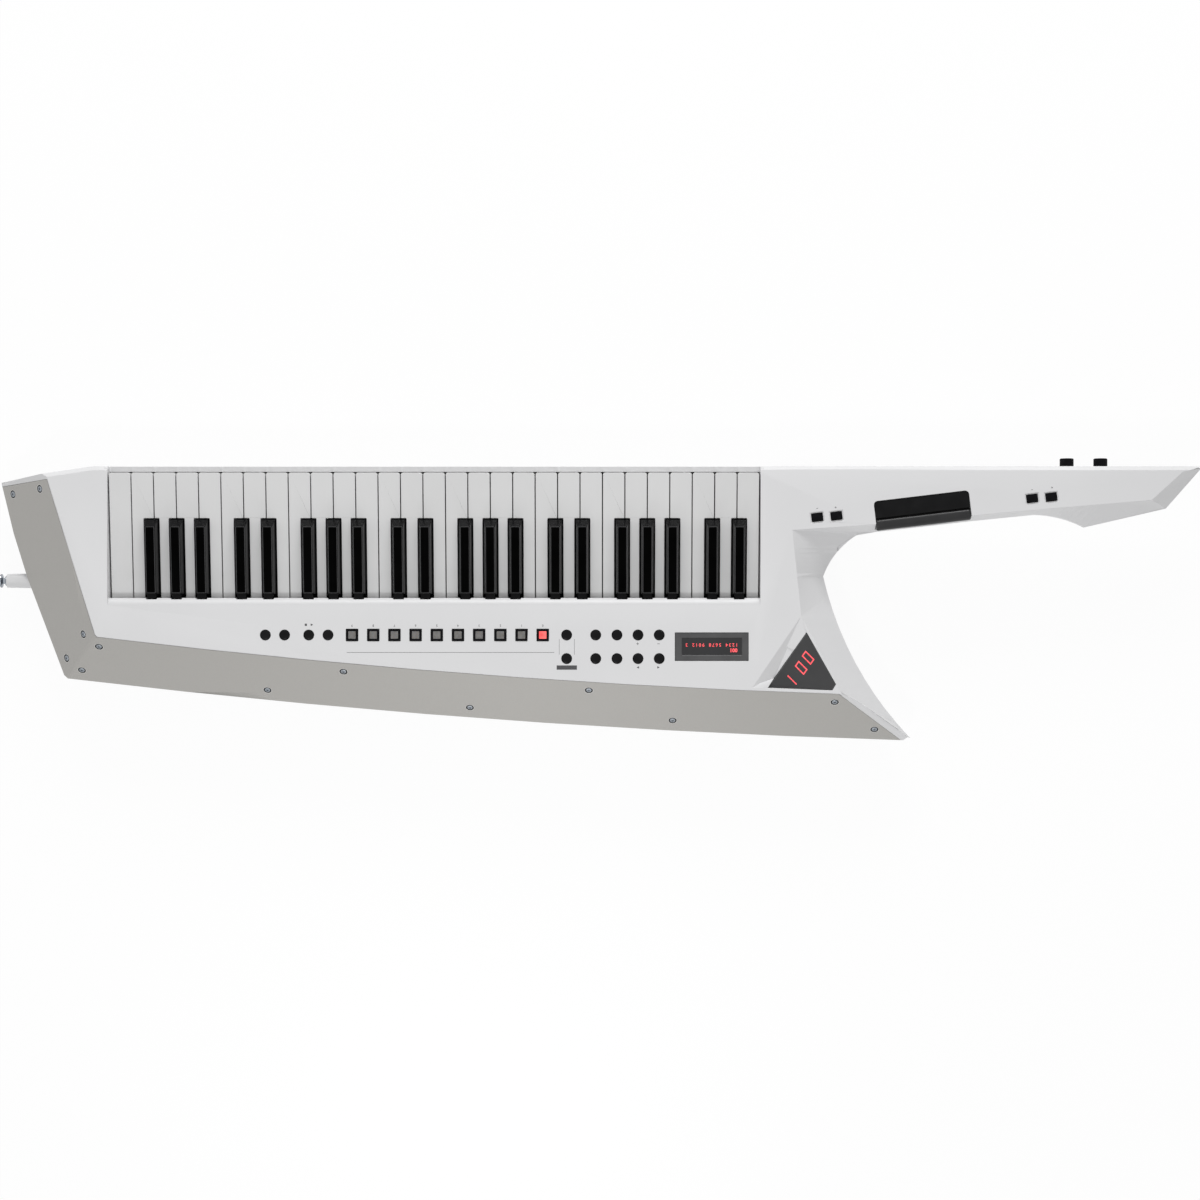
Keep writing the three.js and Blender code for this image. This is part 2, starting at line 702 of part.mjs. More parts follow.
// The face side of the case: one shell with the neck, the horn and the key well
function topCase() {
  const slopes = carriedOn(slopeRibs, slopeEnd, slopeEnd);
  const horn = carriedOn(hornRibs, slopeEnd, 0);
  const outer = cutBy(prism(caseOutline, partingHeight, caseHeight), [
    above(stretched(slopes, 0, cutOverrun)),
    above(stretched(carriedOn(rimRibs, slopeEnd, 0), 0, cutOverrun)),
    above(stretched(horn, 0, cutOverrun)),
    above(stretched(headRibs, 0, cutOverrun)),
    above(stretched(carriedOn(playerEdgeRibs, cutOverrun, cutOverrun), 0, cutOverrun)),
    above(stretched(carriedOn(endEdgeRibs, 0, cutOverrun), 0, cutOverrun)),
    above(stretched(carriedOn(lowered(bladeRibs, seatDrop), fitGap, fitGap), fitGap, cutOverrun)),
  ]);
  const inner = cutBy(prism(inset([...bodyEdge, ...neckSide, neckTip], wall), 0, caseHeight - wall), [
    above(stretched(lowered(slopes, seatDrop + wallDrop), seatDrop + wallDrop, cutOverrun)),
    above(stretched(lowered(horn, wallDrop), wallDrop, cutOverrun)),
    above(stretched(lowered(headRibs, wallDrop), wallDrop, cutOverrun)),
  ]);
  const railY = [keyFrontY + keyFrontGap, playerY - wall];
  const flangeZ = [caseHeight - wellFlangeHeight, caseHeight - wall / 2];
  const flangeY = [wellRimY, playerY - wall / 2];
  const bossY = buttonRowY + bossFromRow;
  const added = [
    block([wellX[0] - wall, wellX[1] + wall], [railY[0], playerY - wall / 2], [
      frontRailHeight - frontRailThickness,
      frontRailHeight,
    ]),
    block([wellX[0] - wall, wellX[0]], flangeY, flangeZ),
    block([wellX[1], wellX[1] + wall], flangeY, flangeZ),
    ruledSlab(carriedOn(wellBevelRibs, wall, wall), -wallDrop),
    ruledSlab(stretched(recessRibs, 0, wall), -wallDrop),
    ...bossShares.map((share) => roundCap(
      new THREE.Vector2(acrossWell(share), bossY),
      bossRadius,
      boardTop + fitGap,
      caseHeight - wall / 2,
    )),
  ];
  const faceZ = caseHeight + cutOverrun;
  const shell = cutBy(joined([outer.subtract(inner), ...added]), [
    block(wellX, [wellLowY, railY[0]], [partingHeight - cutOverrun, faceZ]),
    block(wellX, [railY[0] - cutOverrun, playerY + cutOverrun], [frontRailHeight, faceZ]),
    above(wellBevelRibs),
    above(recessRibs),
  ]);
  return cutBy(shell.add(ruledSlab(recessFacetRibs, -wallDrop)), [
    ...heelNotches(),
    prism(windowCorners, boardTop, faceZ),
    block(
      [textDisplay.x - textDisplayLength / 2, textDisplay.x + textDisplayLength / 2],
      [textDisplay.y - textDisplayDepth / 2, textDisplay.y + textDisplayDepth / 2],
      [boardTop, faceZ],
    ),
    ...buttonHoles(),
    ...neckButtonHoles(),
    prism(barOutline(0, -barOpeningDepth / 2).map(inBarFrame), caseHeight - barPocketDepth, faceZ),
    ...knobs.map((point) => rod(
      new THREE.Vector3(point.x, playerY - wall - cutOverrun, knobHeight),
      new THREE.Vector3(point.x, playerY + cutOverrun, knobHeight),
      knobShaftRadius + fitGap,
      knobShaftRadius + fitGap,
      screwSides,
    )),
    stepBlock(0, 0, neckPartingHeight),
  ]);
}

// The grey angled panel along the left end and the long edge
function edgeBlade() {
  const plate = ruledSlab(stretched(bladeRibs, 0, cutOverrun), -bladeDrop);
  const floor = block([-caseReach, caseReach], [-caseReach, caseReach], [-caseReach, partingHeight]);
  const screwHoles = bladeScrews.flatMap(({ x, y }) => {
    const { point, normal } = bladeSpot(x, y);
    const out = point.clone().addScaledVector(normal, cutOverrun);
    const seat = point.clone().addScaledVector(normal, -screwHeadDepth);
    const through = point.clone().addScaledVector(normal, -bladeThickness - cutOverrun);
    return [
      rod(out, seat, screwHeadRadius + fitGap, screwHeadRadius + fitGap, screwSides),
      rod(out, through, screwShankRadius, screwShankRadius, screwSides),
    ];
  });
  return cutBy(plate, [floor, ...screwHoles]);
}

// Ribs from the flat of the back, up and out to the wall of the case
function backRibs(points, inward, rise) {
  return points.map((point, index) => [at(inward(point, index), 0), at(point, rise)]);
}

// The back side of the case, with the back of the neck, the strap boss and the jack bay
function bottomCase() {
  const top = partingHeight - fitGap;
  const neckTopZ = neckPartingHeight - fitGap;
  const rootHigh = new THREE.Vector2(neckRoot.x + rootLean, playerY);
  const bottomOutline = [...bodyEdge, rootHigh];
  const towardCrest = (point, index) => point.clone().lerp(bladeCrest[index], backFlankShare);
  const inwardBy = (x, y) => (point) => point.clone().add(new THREE.Vector2(x, y));
  const flank = backRibs(bladeFoot, towardCrest, partingHeight - backFlankDrop);
  const flankRibs = carriedOn(flank, slopeEnd, slopeEnd);
  const playerSide = [leftShoulder, neckTop].map(({ x }) => new THREE.Vector2(x, playerY));
  const straightRibs = [
    backRibs(playerSide, inwardBy(0, -backEdgeInset), backEdgeHeight),
    backRibs([leftShoulder, farCorner], inwardBy(0, -backEdgeInset), backEdgeHeight),
    backRibs([...hornEdge, ...throat.slice(1)], inwardBy(-hornBackInset, 0), backEdgeHeight),
    backRibs([neckRoot, rootHigh], inwardBy(-rootSlopeLength, 0), neckBackHeight),
  ].map((ribs) => carriedOn(ribs, cutOverrun, cutOverrun));
  const flanks = [flankRibs, ...straightRibs];
  const underNeck = prism(bottomOutline, 0, neckTopZ).intersect(stepBlock(fitGap, 0, neckTopZ));
  const body = cutBy(
    prism(bottomOutline, 0, top).add(underNeck),
    flanks.map((ribs) => below(stretched(ribs, cutOverrun, cutOverrun))),
  );
  const bodyHollow = cutBy(
    prism(inset(bottomOutline, wall), wall, top + cutOverrun),
    flanks.map((ribs) => below(stretched(lowered(ribs, -wallDrop), wallDrop, cutOverrun))),
  );
  const neckInset = inset(caseOutline, neckBackChamfer);
  const neckStart = bodyEdge.length - 1;
  const neckEnd = caseOutline.length - 3;
  const neckRibs = caseOutline.slice(neckStart, neckEnd + 1).map((point, index) => [
    at(neckInset[neckStart + index], neckBackHeight),
    at(point, neckBackHeight + neckBackChamfer),
  ]);
  const neckTopRibs = [neckStepX, caseReach].map((x) => [
    new THREE.Vector3(x, playerY - neckBackChamfer, neckBackHeight),
    new THREE.Vector3(x, playerY, neckBackHeight + neckBackChamfer),
  ]);
  const neckFlanks = [carriedOn(neckRibs, cutOverrun, slopeEnd), neckTopRibs];
  const neck = cutBy(
    prism(caseOutline, neckBackHeight, neckTopZ).intersect(stepBlock(fitGap, 0, neckTopZ)),
    neckFlanks.map((ribs) => below(stretched(ribs, cutOverrun, cutOverrun))),
  );
  const neckHollow = cutBy(
    prism(inset([...bodyEdge, ...neckSide, neckTip], wall), neckBackHeight + wall, neckTopZ + cutOverrun)
      .intersect(stepBlock(-wall, 0, caseHeight)),
    neckFlanks.map((ribs) => below(stretched(lowered(ribs, -wallDrop), wallDrop, cutOverrun))),
  );
  const ribTop = chassisFloor - chassisThickness - fitGap;
  const chassisNear = onKeyboard(-chassisRear + ribInset, ribTop);
  const chassisFar = onKeyboard(keyLength - chassisSetback - ribInset, ribTop);
  const ribSide = [
    new THREE.Vector2(chassisNear.x, wall / 2),
    new THREE.Vector2(chassisFar.x - ribFootSetback, wall / 2),
    chassisFar,
    chassisNear,
  ];
  const ribPitch = (wellLength - 2 * ribMargin) / (ribCount - 1);
  const ribs = Array.from({ length: ribCount }, (_, index) => {
    const x = wellX[0] + ribMargin + index * ribPitch;
    return upright(ribSide, x - ribThickness / 2, x + ribThickness / 2);
  });
  const bay = place(wellZone, jackBayShares);
  const bayBlock = (margin, low, high) => block(
    [bay.x - jackBayLength / 2 - margin, bay.x + jackBayLength / 2 + margin],
    [bay.y - jackBayWidth / 2 - margin, bay.y + jackBayWidth / 2 + margin],
    [low, high],
  );
  const strapPoint = (fromEnd) => new THREE.Vector3(strapEndX + fromEnd, strapAxisY, strapAxisZ);
  const boss = rod(
    strapPoint(strapBossReach),
    strapPoint(strapBossRoot),
    strapBossTipRadius,
    strapBossRadius,
    roundSides,
  );
  const pinHole = rod(
    strapPoint(strapBossReach - cutOverrun),
    strapPoint(strapBossReach + strapShankLength + fitGap),
    strapShankRadius + fitGap,
    strapShankRadius + fitGap,
    screwSides,
  );
  const shell = cutBy(joined([body, neck]), [bodyHollow, neckHollow]);
  return cutBy(joined([shell, boss, bayBlock(wall, wall / 2, jackBayDepth + wall), ...ribs]), [
    pinHole,
    bayBlock(0, -cutOverrun, jackBayDepth),
    lidGroove(),
    ...backScrewHoles(),
  ]);
}

// The groove round the battery lid, which lies flush in the back
function lidGroove() {
  const middle = place(wellZone, batteryLidShares);
  const lid = (margin, low, high) => block(
    [middle.x - batteryLidLength / 2 - margin, middle.x + batteryLidLength / 2 + margin],
    [middle.y - batteryLidWidth / 2 - margin, middle.y + batteryLidWidth / 2 + margin],
    [low, high],
  );
  return lid(lidGrooveWidth, -cutOverrun, lidGrooveDepth).subtract(lid(0, -caseHeight, caseHeight));
}

// Seats of the case screws in the back of the body and the neck
function backScrewHoles() {
  const seat = (z) => (point) => {
    const ends = [at(point, z - cutOverrun), at(point, z + backScrewDepth)];
    return rod(...ends, backScrewRadius, backScrewRadius, screwSides);
  };
  return [
    ...placeAll(wellZone, backScrewShares).map(seat(0)),
    ...placeAll(neckZone, neckScrewShares).map(seat(neckBackHeight)),
  ];
}

// Key chassis and keys lie in a frame of their own, with its origin on the line of the key pivots:
// X along the row, Y to the key fronts, Z out of the key tops.
const chassisFloor = keyTopAbovePivot - chassisDrop;
const keyBottom = keyTopAbovePivot - keyHeight;
const rowStart = wellZone.start + wellSideGap;
const visibleStart = (wellLowY - pivotY) / Math.cos(keyTilt);
const blackKeyFront = visibleStart + blackKeyVisibleLength;

function onKeyboard(v, w) {
  return new THREE.Vector2(
    pivotY + v * Math.cos(keyTilt) - w * Math.sin(keyTilt),
    pivotZ + v * Math.sin(keyTilt) + w * Math.cos(keyTilt),
  );
}

// The middle of the black key between a white key and the next one, or null
function blackKeyMiddle(whiteKey) {
  const shift = blackKeyShiftShares[((whiteKey % keysPerOctave) + keysPerOctave) % keysPerOctave];
  if (shift === undefined || whiteKey < 0 || whiteKey >= whiteKeyCount - 1) return null;
  return rowStart + (whiteKey + 1 + shift) * keyPitch;
}

const blackKeyMiddles = Array.from({ length: whiteKeyCount }, (_, index) => blackKeyMiddle(index))
  .filter((middle) => middle !== null);

function whiteKey(index) {
  const left = rowStart + index * keyPitch + keyGap / 2;
  const right = left + keyPitch - keyGap;
  const notch = blackKeyWidth / 2 + blackKeyClearance;
  const blackBefore = blackKeyMiddle(index - 1);
  const blackAfter = blackKeyMiddle(index);
  const rearLeft = blackBefore === null ? left : blackBefore + notch;
  const rearRight = blackAfter === null ? right : blackAfter - notch;
  const notchEnd = blackKeyFront + blackKeyClearance;
  const plan = [
    new THREE.Vector2(rearLeft, -keyTail),
    new THREE.Vector2(rearRight, -keyTail),
    new THREE.Vector2(rearRight, notchEnd),
    new THREE.Vector2(right, notchEnd),
    new THREE.Vector2(right, keyLength),
    new THREE.Vector2(left, keyLength),
    new THREE.Vector2(left, notchEnd),
    new THREE.Vector2(rearLeft, notchEnd),
  ].filter((point, corner, all) => !point.equals(all[(corner + 1) % all.length]));
  const side = [
    new THREE.Vector2(-keyTail, keyBottom),
    new THREE.Vector2(keyLength - keyFrontDraft, keyBottom),
    new THREE.Vector2(keyLength, keyTopAbovePivot - keyTopChamfer),
    new THREE.Vector2(keyLength - keyTopChamfer, keyTopAbovePivot),
    new THREE.Vector2(-keyTail, keyTopAbovePivot),
  ];
  const solid = prism(plan, keyBottom, keyTopAbovePivot).intersect(upright(side, left, right));
  const hollow = block(
    [rearLeft + keyWall, rearRight - keyWall],
    [keyHollowStart, keyLength - keyFrontDraft - keyWall],
    [keyBottom - cutOverrun, keyTopAbovePivot - keyRoof],
  );
  return solid.subtract(hollow);
}

function blackKey(index) {
  const middle = blackKeyMiddle(index);
  const across = (width) => [middle - width / 2, middle + width / 2];
  const fullStart = visibleStart + blackKeyFullStart;
  const sideTop = keyTopAbovePivot + blackKeySide;
  const stem = block(
    across(blackKeyTabWidth),
    [-keyTail, blackKeyFront - blackKeyFrontSlope],
    [keyBottom, keyTopAbovePivot],
  );
  const tab = block(
    across(blackKeyTabWidth),
    [fullStart - blackKeyTabLength, fullStart + blackKeyRearSlope],
    [0, keyTopAbovePivot + blackKeyTabRise],
  );
  const heel = block(
    across(blackKeyTabWidth),
    [visibleStart + blackKeyHeelStart, fullStart + blackKeyRearSlope],
    [keyTopAbovePivot, keyTopAbovePivot + blackKeyHeelRise],
  );
  const skirt = block(
    across(blackKeyWidth),
    [fullStart, blackKeyFront],
    [keyTopAbovePivot - blackKeySkirt, sideTop],
  );
  const body = taperedBlock(
    { x: across(blackKeyWidth), y: [fullStart, blackKeyFront] },
    { x: across(blackKeyTopWidth), y: [fullStart + blackKeyRearSlope, blackKeyFront - blackKeyFrontSlope] },
    [sideTop, keyTopAbovePivot + blackKeyRise],
  );
  const hollow = block(
    across(blackKeyTabWidth - 2 * keyWall),
    [keyHollowStart, blackKeyFront - blackKeyFrontSlope - keyWall],
    [keyBottom - cutOverrun, keyTopAbovePivot - keyRoof],
  );
  return joined([stem, tab, heel, skirt, body]).subtract(hollow);
}

function keyChassis() {
  const x = [wellX[0] + fitGap, wellX[1] - fitGap];
  const rail = (middle, width, top) => block(x, [middle - width / 2, middle + width / 2], [
    chassisFloor - chassisThickness / 2,
    top,
  ]);
  return joined([
    block(x, [-chassisRear, keyLength - chassisSetback], [chassisFloor - chassisThickness, chassisFloor]),
    rail(0, pivotRailWidth, keyBottom - pivotPlay),
    rail(keyLength - stopRailSetback, stopRailWidth, chassisFloor + stopRailHeight),
  ]);
}

// Circuit board with the text display, and the number display under its window
function mainBoard() {
  const left = acrossWell(leftRoundShares[0]) - boardMargin;
  const step = acrossWell(favouriteShare) - boardMargin;
  const rear = buttonRowY + boardRearMargin;
  const firstLow = buttonRowY - boardMargin;
  const secondLow = secondRowY - boardMargin;
  const outline = [
    [left, firstLow],
    [step, firstLow],
    [step, secondLow],
    [windowLeft.x - boardMargin / 2, secondLow],
    [windowLeft.x, windowRight.y],
    [windowRight.x, windowRight.y],
    [windowApex.x, windowApex.y],
    [windowApex.x - boardMargin, rear],
    [left, rear],
  ].map(([x, y]) => new THREE.Vector2(x, y));
  const half = textDisplayLength / 2 - buttonGap;
  const depth = textDisplayDepth / 2 - buttonGap;
  const numberTop = caseHeight - recessDepth - displayRecess;
  return joined([
    prism(outline, boardTop - boardThickness, boardTop),
    block(
      [textDisplay.x - half, textDisplay.x + half],
      [textDisplay.y - depth, textDisplay.y + depth],
      [boardTop - boardThickness / 2, caseHeight - displayRecess],
    ),
    prism(inset(windowCorners, buttonGap), boardTop - boardThickness / 2, numberTop),
  ]);
}

// All the panel's caps on one mat over the board
function panelButtons() {
  const low = boardTop + buttonTravel + fitGap;
  const high = low + matThickness;
  const capLow = low + matThickness / 2;
  const capHigh = caseHeight + buttonProud;
  const left = roundButtons[0].x - matWidth / 2;
  const step = acrossWell(favouriteShare) - matWidth / 2;
  const right = acrossWell(menuShares.at(-1)) + matWidth / 2;
  return joined([
    block([left, right], [buttonRowY - matWidth / 2, buttonRowY + matWidth / 2], [low, high]),
    block([step, right], [secondRowY - matWidth / 2, buttonRowY], [low, high]),
    ...roundButtons.map((point) => roundCap(point, roundButtonRadius, capLow, capHigh)),
    ...pads.map((point) => squareCap(point, padWidth, capLow, capHigh)),
  ]);
}

// The neck's four caps on one strip that passes behind the modulation bar
function neckButtons() {
  const low = caseHeight - neckMatDrop - matThickness;
  const high = low + matThickness;
  const caps = placeAll(neckZone, neckButtonShares);
  const stripY = bladeTipY + neckMatShare * caseDepth;
  const stripWidth = [stripY - neckMatWidth / 2, stripY + neckMatWidth / 2];
  const reach = neckButtonLength / 2;
  const pairs = [caps.slice(0, 2), caps.slice(2)];
  return joined([
    block([caps[0].x - reach, caps.at(-1).x + reach], stripWidth, [low, high]),
    ...pairs.map(([first, second]) => block(
      [first.x - reach, second.x + reach],
      [first.y - neckButtonWidth / 2, stripY],
      [low, high],
    )),
    ...caps.map((point) => neckBlock(
      point,
      neckButtonLength,
      neckButtonWidth,
      high - matThickness / 2,
      caseHeight + buttonProud,
    )),
  ]);
}

// Plate and round bar, in the frame of the opening's lower left corner
function modulationBar() {
  const top = caseHeight - barRecess;
  const plate = prism(barOutline(barSideGap, barRadius), top - barPlateThickness, top);
  const axisY = barRadius + barSideGap;
  const end = (x) => new THREE.Vector3(x, axisY, top - barRadius);
  return plate.add(rod(end(barSideGap), end(barLength - barSideGap), barRadius, barRadius, knobSides));
}

function knob(x) {
  const point = (y) => new THREE.Vector3(x, y, knobHeight);
  const face = playerY + fitGap;
  const shaftEnds = [point(face - knobShaftLength), point(face + fitGap)];
  const cap = rod(point(face), point(playerY + knobReach), knobRadius, knobRadius, knobSides);
  return cap.add(rod(...shaftEnds, knobShaftRadius, knobShaftRadius, screwSides));
}

function strapPin() {
  const point = (fromEnd) => new THREE.Vector3(strapEndX + fromEnd, strapAxisY, strapAxisZ);
  const seat = strapBossReach - fitGap;
  const shankEnds = [point(seat - fitGap), point(strapBossReach + strapShankLength)];
  return joined([
    rod(point(0), point(strapHeadThickness), strapHeadRadius, strapHeadRadius, roundSides),
    rod(point(strapHeadThickness / 2), point(seat), strapNeckRadius, strapNeckRadius, roundSides),
    rod(...shankEnds, strapShankRadius, strapShankRadius, screwSides),
  ]);
}

// Finishes
function finish(color, roughness, metalness) {
  return new THREE.MeshStandardMaterial({ color, roughness, metalness });
}

const whiteShell = finish(0xd9d9da, 0.45, 0);
const bladeGrey = finish(0xa3a19c, 0.4, 0.2);
const whiteKeyFinish = finish(0xe2e2e3, 0.25, 0);
const blackKeyFinish = finish(0x0c0c0d, 0.15, 0);
const blackPlastic = finish(0x1a1a1c, 0.5, 0);
const glossBlack = finish(0x141416, 0.2, 0);
const chassisGrey = finish(0x4a4c50, 0.7, 0);
const boardGreen = finish(0x1d4a35, 0.6, 0);
const chromed = finish(0xb9bdc4, 0.15, 1);

function piece(name, solid, material) {
  const mesh = new THREE.Mesh(geometryOf(solid), material);
  mesh.name = name;
  return mesh;
}

const keytar = new THREE.Group();
const keyboard = new THREE.Group();
keyboard.position.set(0, pivotY, pivotZ);
keyboard.rotation.x = keyTilt;
keyboard.add(piece('key_chassis', keyChassis(), chassisGrey));
for (let index = 0; index < whiteKeyCount; index += 1) {
  const number = String(index + 1).padStart(2, '0');
  keyboard.add(piece(`white_key_${number}`, whiteKey(index), whiteKeyFinish));
  if (blackKeyMiddle(index) !== null) {
    keyboard.add(piece(`black_key_${number}`, blackKey(index), blackKeyFinish));
  }
}

const bar = piece('modulation_bar', modulationBar(), glossBlack);
bar.position.set(barCorner.x, barCorner.y, 0);
bar.rotation.z = neckSlope;

keytar.add(
  keyboard,
  piece('top_case', topCase(), whiteShell),
  piece('bottom_case', bottomCase(), whiteShell),
  piece('edge_blade', edgeBlade(), bladeGrey),
  piece('main_board', mainBoard(), boardGreen),
  piece('panel_buttons', panelButtons(), blackPlastic),
  piece('neck_buttons', neckButtons(), blackPlastic),
  bar,
  piece('control_knob', knob(knobs[0].x), blackPlastic),
  piece('volume_knob', knob(knobs[1].x), blackPlastic),
  piece('strap_pin', strapPin(), chromed),
);

export default keytar;
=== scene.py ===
# A white 49-key keytar lying on its back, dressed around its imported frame.
# Sizes and places are in millimetres, in the frame's own axes, until a mesh is made.
import json
import math

import bmesh
import bpy
from mathutils import Color, Matrix, Vector
from mathutils.bvhtree import BVHTree


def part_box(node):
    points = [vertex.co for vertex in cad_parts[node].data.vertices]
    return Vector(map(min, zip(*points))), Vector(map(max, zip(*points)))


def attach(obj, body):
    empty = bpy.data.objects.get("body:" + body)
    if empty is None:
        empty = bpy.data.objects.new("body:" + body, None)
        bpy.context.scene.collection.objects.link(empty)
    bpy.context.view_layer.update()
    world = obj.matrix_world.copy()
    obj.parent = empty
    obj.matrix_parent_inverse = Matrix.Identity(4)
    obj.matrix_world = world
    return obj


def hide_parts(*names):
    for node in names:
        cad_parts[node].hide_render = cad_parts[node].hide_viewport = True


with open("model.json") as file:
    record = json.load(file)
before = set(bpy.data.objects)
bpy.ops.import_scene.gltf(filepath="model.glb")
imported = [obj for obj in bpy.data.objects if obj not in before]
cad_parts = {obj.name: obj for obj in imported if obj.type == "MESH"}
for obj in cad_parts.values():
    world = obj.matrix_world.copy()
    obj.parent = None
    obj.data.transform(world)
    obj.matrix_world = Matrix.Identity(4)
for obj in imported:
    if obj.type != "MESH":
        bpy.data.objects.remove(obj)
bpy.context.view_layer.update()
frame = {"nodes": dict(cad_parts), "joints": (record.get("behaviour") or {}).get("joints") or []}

MM = 0.001

# Camera: the photograph's view straight down on the key face
CAMERA_PLACE = Vector((3.7, 0.4, 2478))
CAMERA_LENS = 70.2
SENSOR_WIDTH = 36

# Studio: strength of the ambient light, and lamps as place, target, size and power in watts
AMBIENT = 0.52
FLOOR_REACH = 12000
FLOOR_DROP = 0.4
FLOOR_GLOW = 0.94
WHITE = (1, 1, 1, 1)
LAMPS = {
    "key_lamp": ((-500, -1700, 2700), (0, 0, 0), (460, 360), 21.0),
    "player_lamp": ((50, 2300, 1050), (100, 0, 40), (1600, 600), 38.0),
    "edge_lamp": ((-130, -650, 300), (-130, -100, 50), (400, 120), 0.6),
}

# Rows of a matrix that turns a shape in space, and of one that turns it in its plane
SPACE_ROWS = 4
PLANE_ROWS = 2

# Steps of round shapes, and limits for corners, for points in one place and for smooth faces
ROUND_SIDES = 48
FILLET_STEPS = 6
EDGE_STEPS = 3
MITRE_LIMIT = 0.3
CROWN_SHARES = ((0.7, 0.6), (0.35, 0.92))
TOUCH = 0.0001
SHARP_ANGLE = math.radians(40)
SMOOTH_SIDES = 4

# Shells: how their faces are merged, rounded and creased
SHELL_EDGE = 0.25
BLADE_EDGE = 0.15
WELD_DISTANCE = 0.06
FLAT_ANGLE = math.radians(0.3)
EDGE_ANGLE = math.radians(41)
CREASE_ANGLE = math.radians(20)
LEVEL_NORMAL = 0.99999
SLIVER_SHARE = 0.12
NARROW_ANGLE = math.radians(12)
SHELL_SEGMENTS = 2
SHELL_PROFILE_SHARE = 0.5

# Keys, in the frame of their pivots: X along the row, Y to the fronts, Z out of the tops
KEY_TILT = math.radians(7)
KEY_GAP = 1
KEY_LENGTH = 156
KEY_TAIL = 8
KEY_TOP = 5
KEY_BOTTOM = -10
KEY_FRONT_CORNER = 2.3
KEY_SIDE_CORNER = 0.4
KEY_NOTCH_CORNER = 0.8
KEY_CORNER_STEPS = 4
KEY_EDGE = 0.55
KEY_FRONT_DRAFT = 2
KEY_DRAFT_START = 10
WHITE_COUNT = 29
OCTAVE_KEYS = 7
BLACK_SHIFT_SHARES = {1: -0.12, 2: 0, 3: 0.12, 5: -0.1, 6: 0.1}
BLACK_WIDTH = 13.8
BLACK_TOP_WIDTH = 10
BLACK_TAB_WIDTH = 9.5
BLACK_NOTCH_GAP = 1.2
BLACK_START = 30
BLACK_END = 107.7
BLACK_FRONT_SLOPE = 6
BLACK_REAR_SLOPE = 2.5
BLACK_LOW = 1
BLACK_SIDE = 6
BLACK_TOP = 17
BLACK_ROUNDING = (0.7, 3, math.radians(20))
# Black key tops: a near-black inlay ringed by a paler rim, which is a painted highlight along the top's
# edges
INLAY_INSET = 0.75
INLAY_HIGHLIGHT = 0.4
INLAY_CORNER = 0.5
INLAY_SINK = 0.3
INLAY_RISE = 0.03
HEEL_START = 26.55
HEEL_TOP = 14.9
HEEL_CORNER = 1.2
HEEL_EDGE = 0.6
STEM_TOP = 4.6

# Panel buttons: the sizes of the round caps and the square pads, and the rows and columns they are in
ROUND_RADIUS = 5.25
ROUND_CROWN = 0.45
PAD_WIDTH = 12
PAD_CORNER = 1.1
PAD_CENTRE = 7.6
PAD_CENTRE_CORNER = 0.5
PAD_CENTRE_RISE = 0.25
PAD_CENTRE_DEPTH = 1
PAD_CENTRE_EDGE = 0.2
CAP_DEPTH = 6
CAP_EDGE = 0.7
PAD_EDGE = 0.4
MAT_WIDTH = 17
MAT_LOW = 64.2
MAT_HIGH = 66
UPPER_ROW = -35.5
LOWER_ROW = -59.7
LEFT_ROUNDS = (-339.6, -319.9, -295.0, -275.3)
FIRST_COLUMN_X = -30.5
COLUMN_XS = (-0.7, 21.1, 42.7, 64.5)
PAD_XS = (-250.6, -55.0)
PAD_COUNT = 10

# Neck: its lower edge rises by this angle, and the neck buttons and the bar lie along it
NECK_SLOPE = math.radians(6.8)
NECK_CAPS = ((226.6, 85.4), (246.4, 86.8), (447.0, 104.6), (466.7, 106.2))
NECK_CAP_SIZE = (11.1, 7.7)
NECK_CAP_CORNER = 1.0
NECK_CAP_EDGE = 0.5
NECK_STRIP_WIDTH = 10
NECK_STRIP_THICKNESS = 2

# Modulation bar, in the frame of its opening: X along the bar, Y up the neck, from the lower left corner
BAR_LENGTH = 98.4
BAR_DEPTH = 30.9
BAR_PIVOT = (49.2, 29.0)
BAR_GAP = 0.4
BAR_RADIUS = 6.6
BAR_CORNER = 4
BAR_AXIS = (7.0, 70.4)
BAR_END = 1.6
BAR_END_STEPS = 6
BAR_SIDES = 96
PLATE_LOW_Y = 13.0
PLATE_TOP = 77
PLATE_THICKNESS = 3
PLATE_EDGE = 0.8

# Knobs, along their own axis from the case's player side; the mark as width, length and rise
KNOB_RADIUS = 7.1
KNOB_FLUTES = 24
KNOB_FLUTE_DEPTH = 0.28
KNOB_FLUTE_SIDES = 8
KNOB_START = 0.3
KNOB_FOOT = 0.4
KNOB_END = 8.4
KNOB_EDGE = 1.0
KNOB_EDGE_STEPS = 4
KNOB_CAP_INSET = 1.6
KNOB_DISH = 0.4
KNOB_DISH_DEPTH = 0.3
KNOB_MARK = (0.9, 4.6, 0.12)
KNOB_SHAFT_RADIUS = 3
KNOB_SHAFT_START = -11.7

# Strap pin: radius and distance along X from its outer end
PIN_PROFILE = (
    (0, 0), (5.6, 0), (6.9, 0.35), (7.3, 1.1), (7.1, 2.0), (6.2, 2.5), (4.0, 2.8), (3.2, 3.6),
    (3.2, 5.4), (3.9, 5.8), (5.2, 6.0), (5.4, 6.6), (5.2, 7.1), (2.2, 7.2), (2.2, 21.5), (0, 21.5),
)
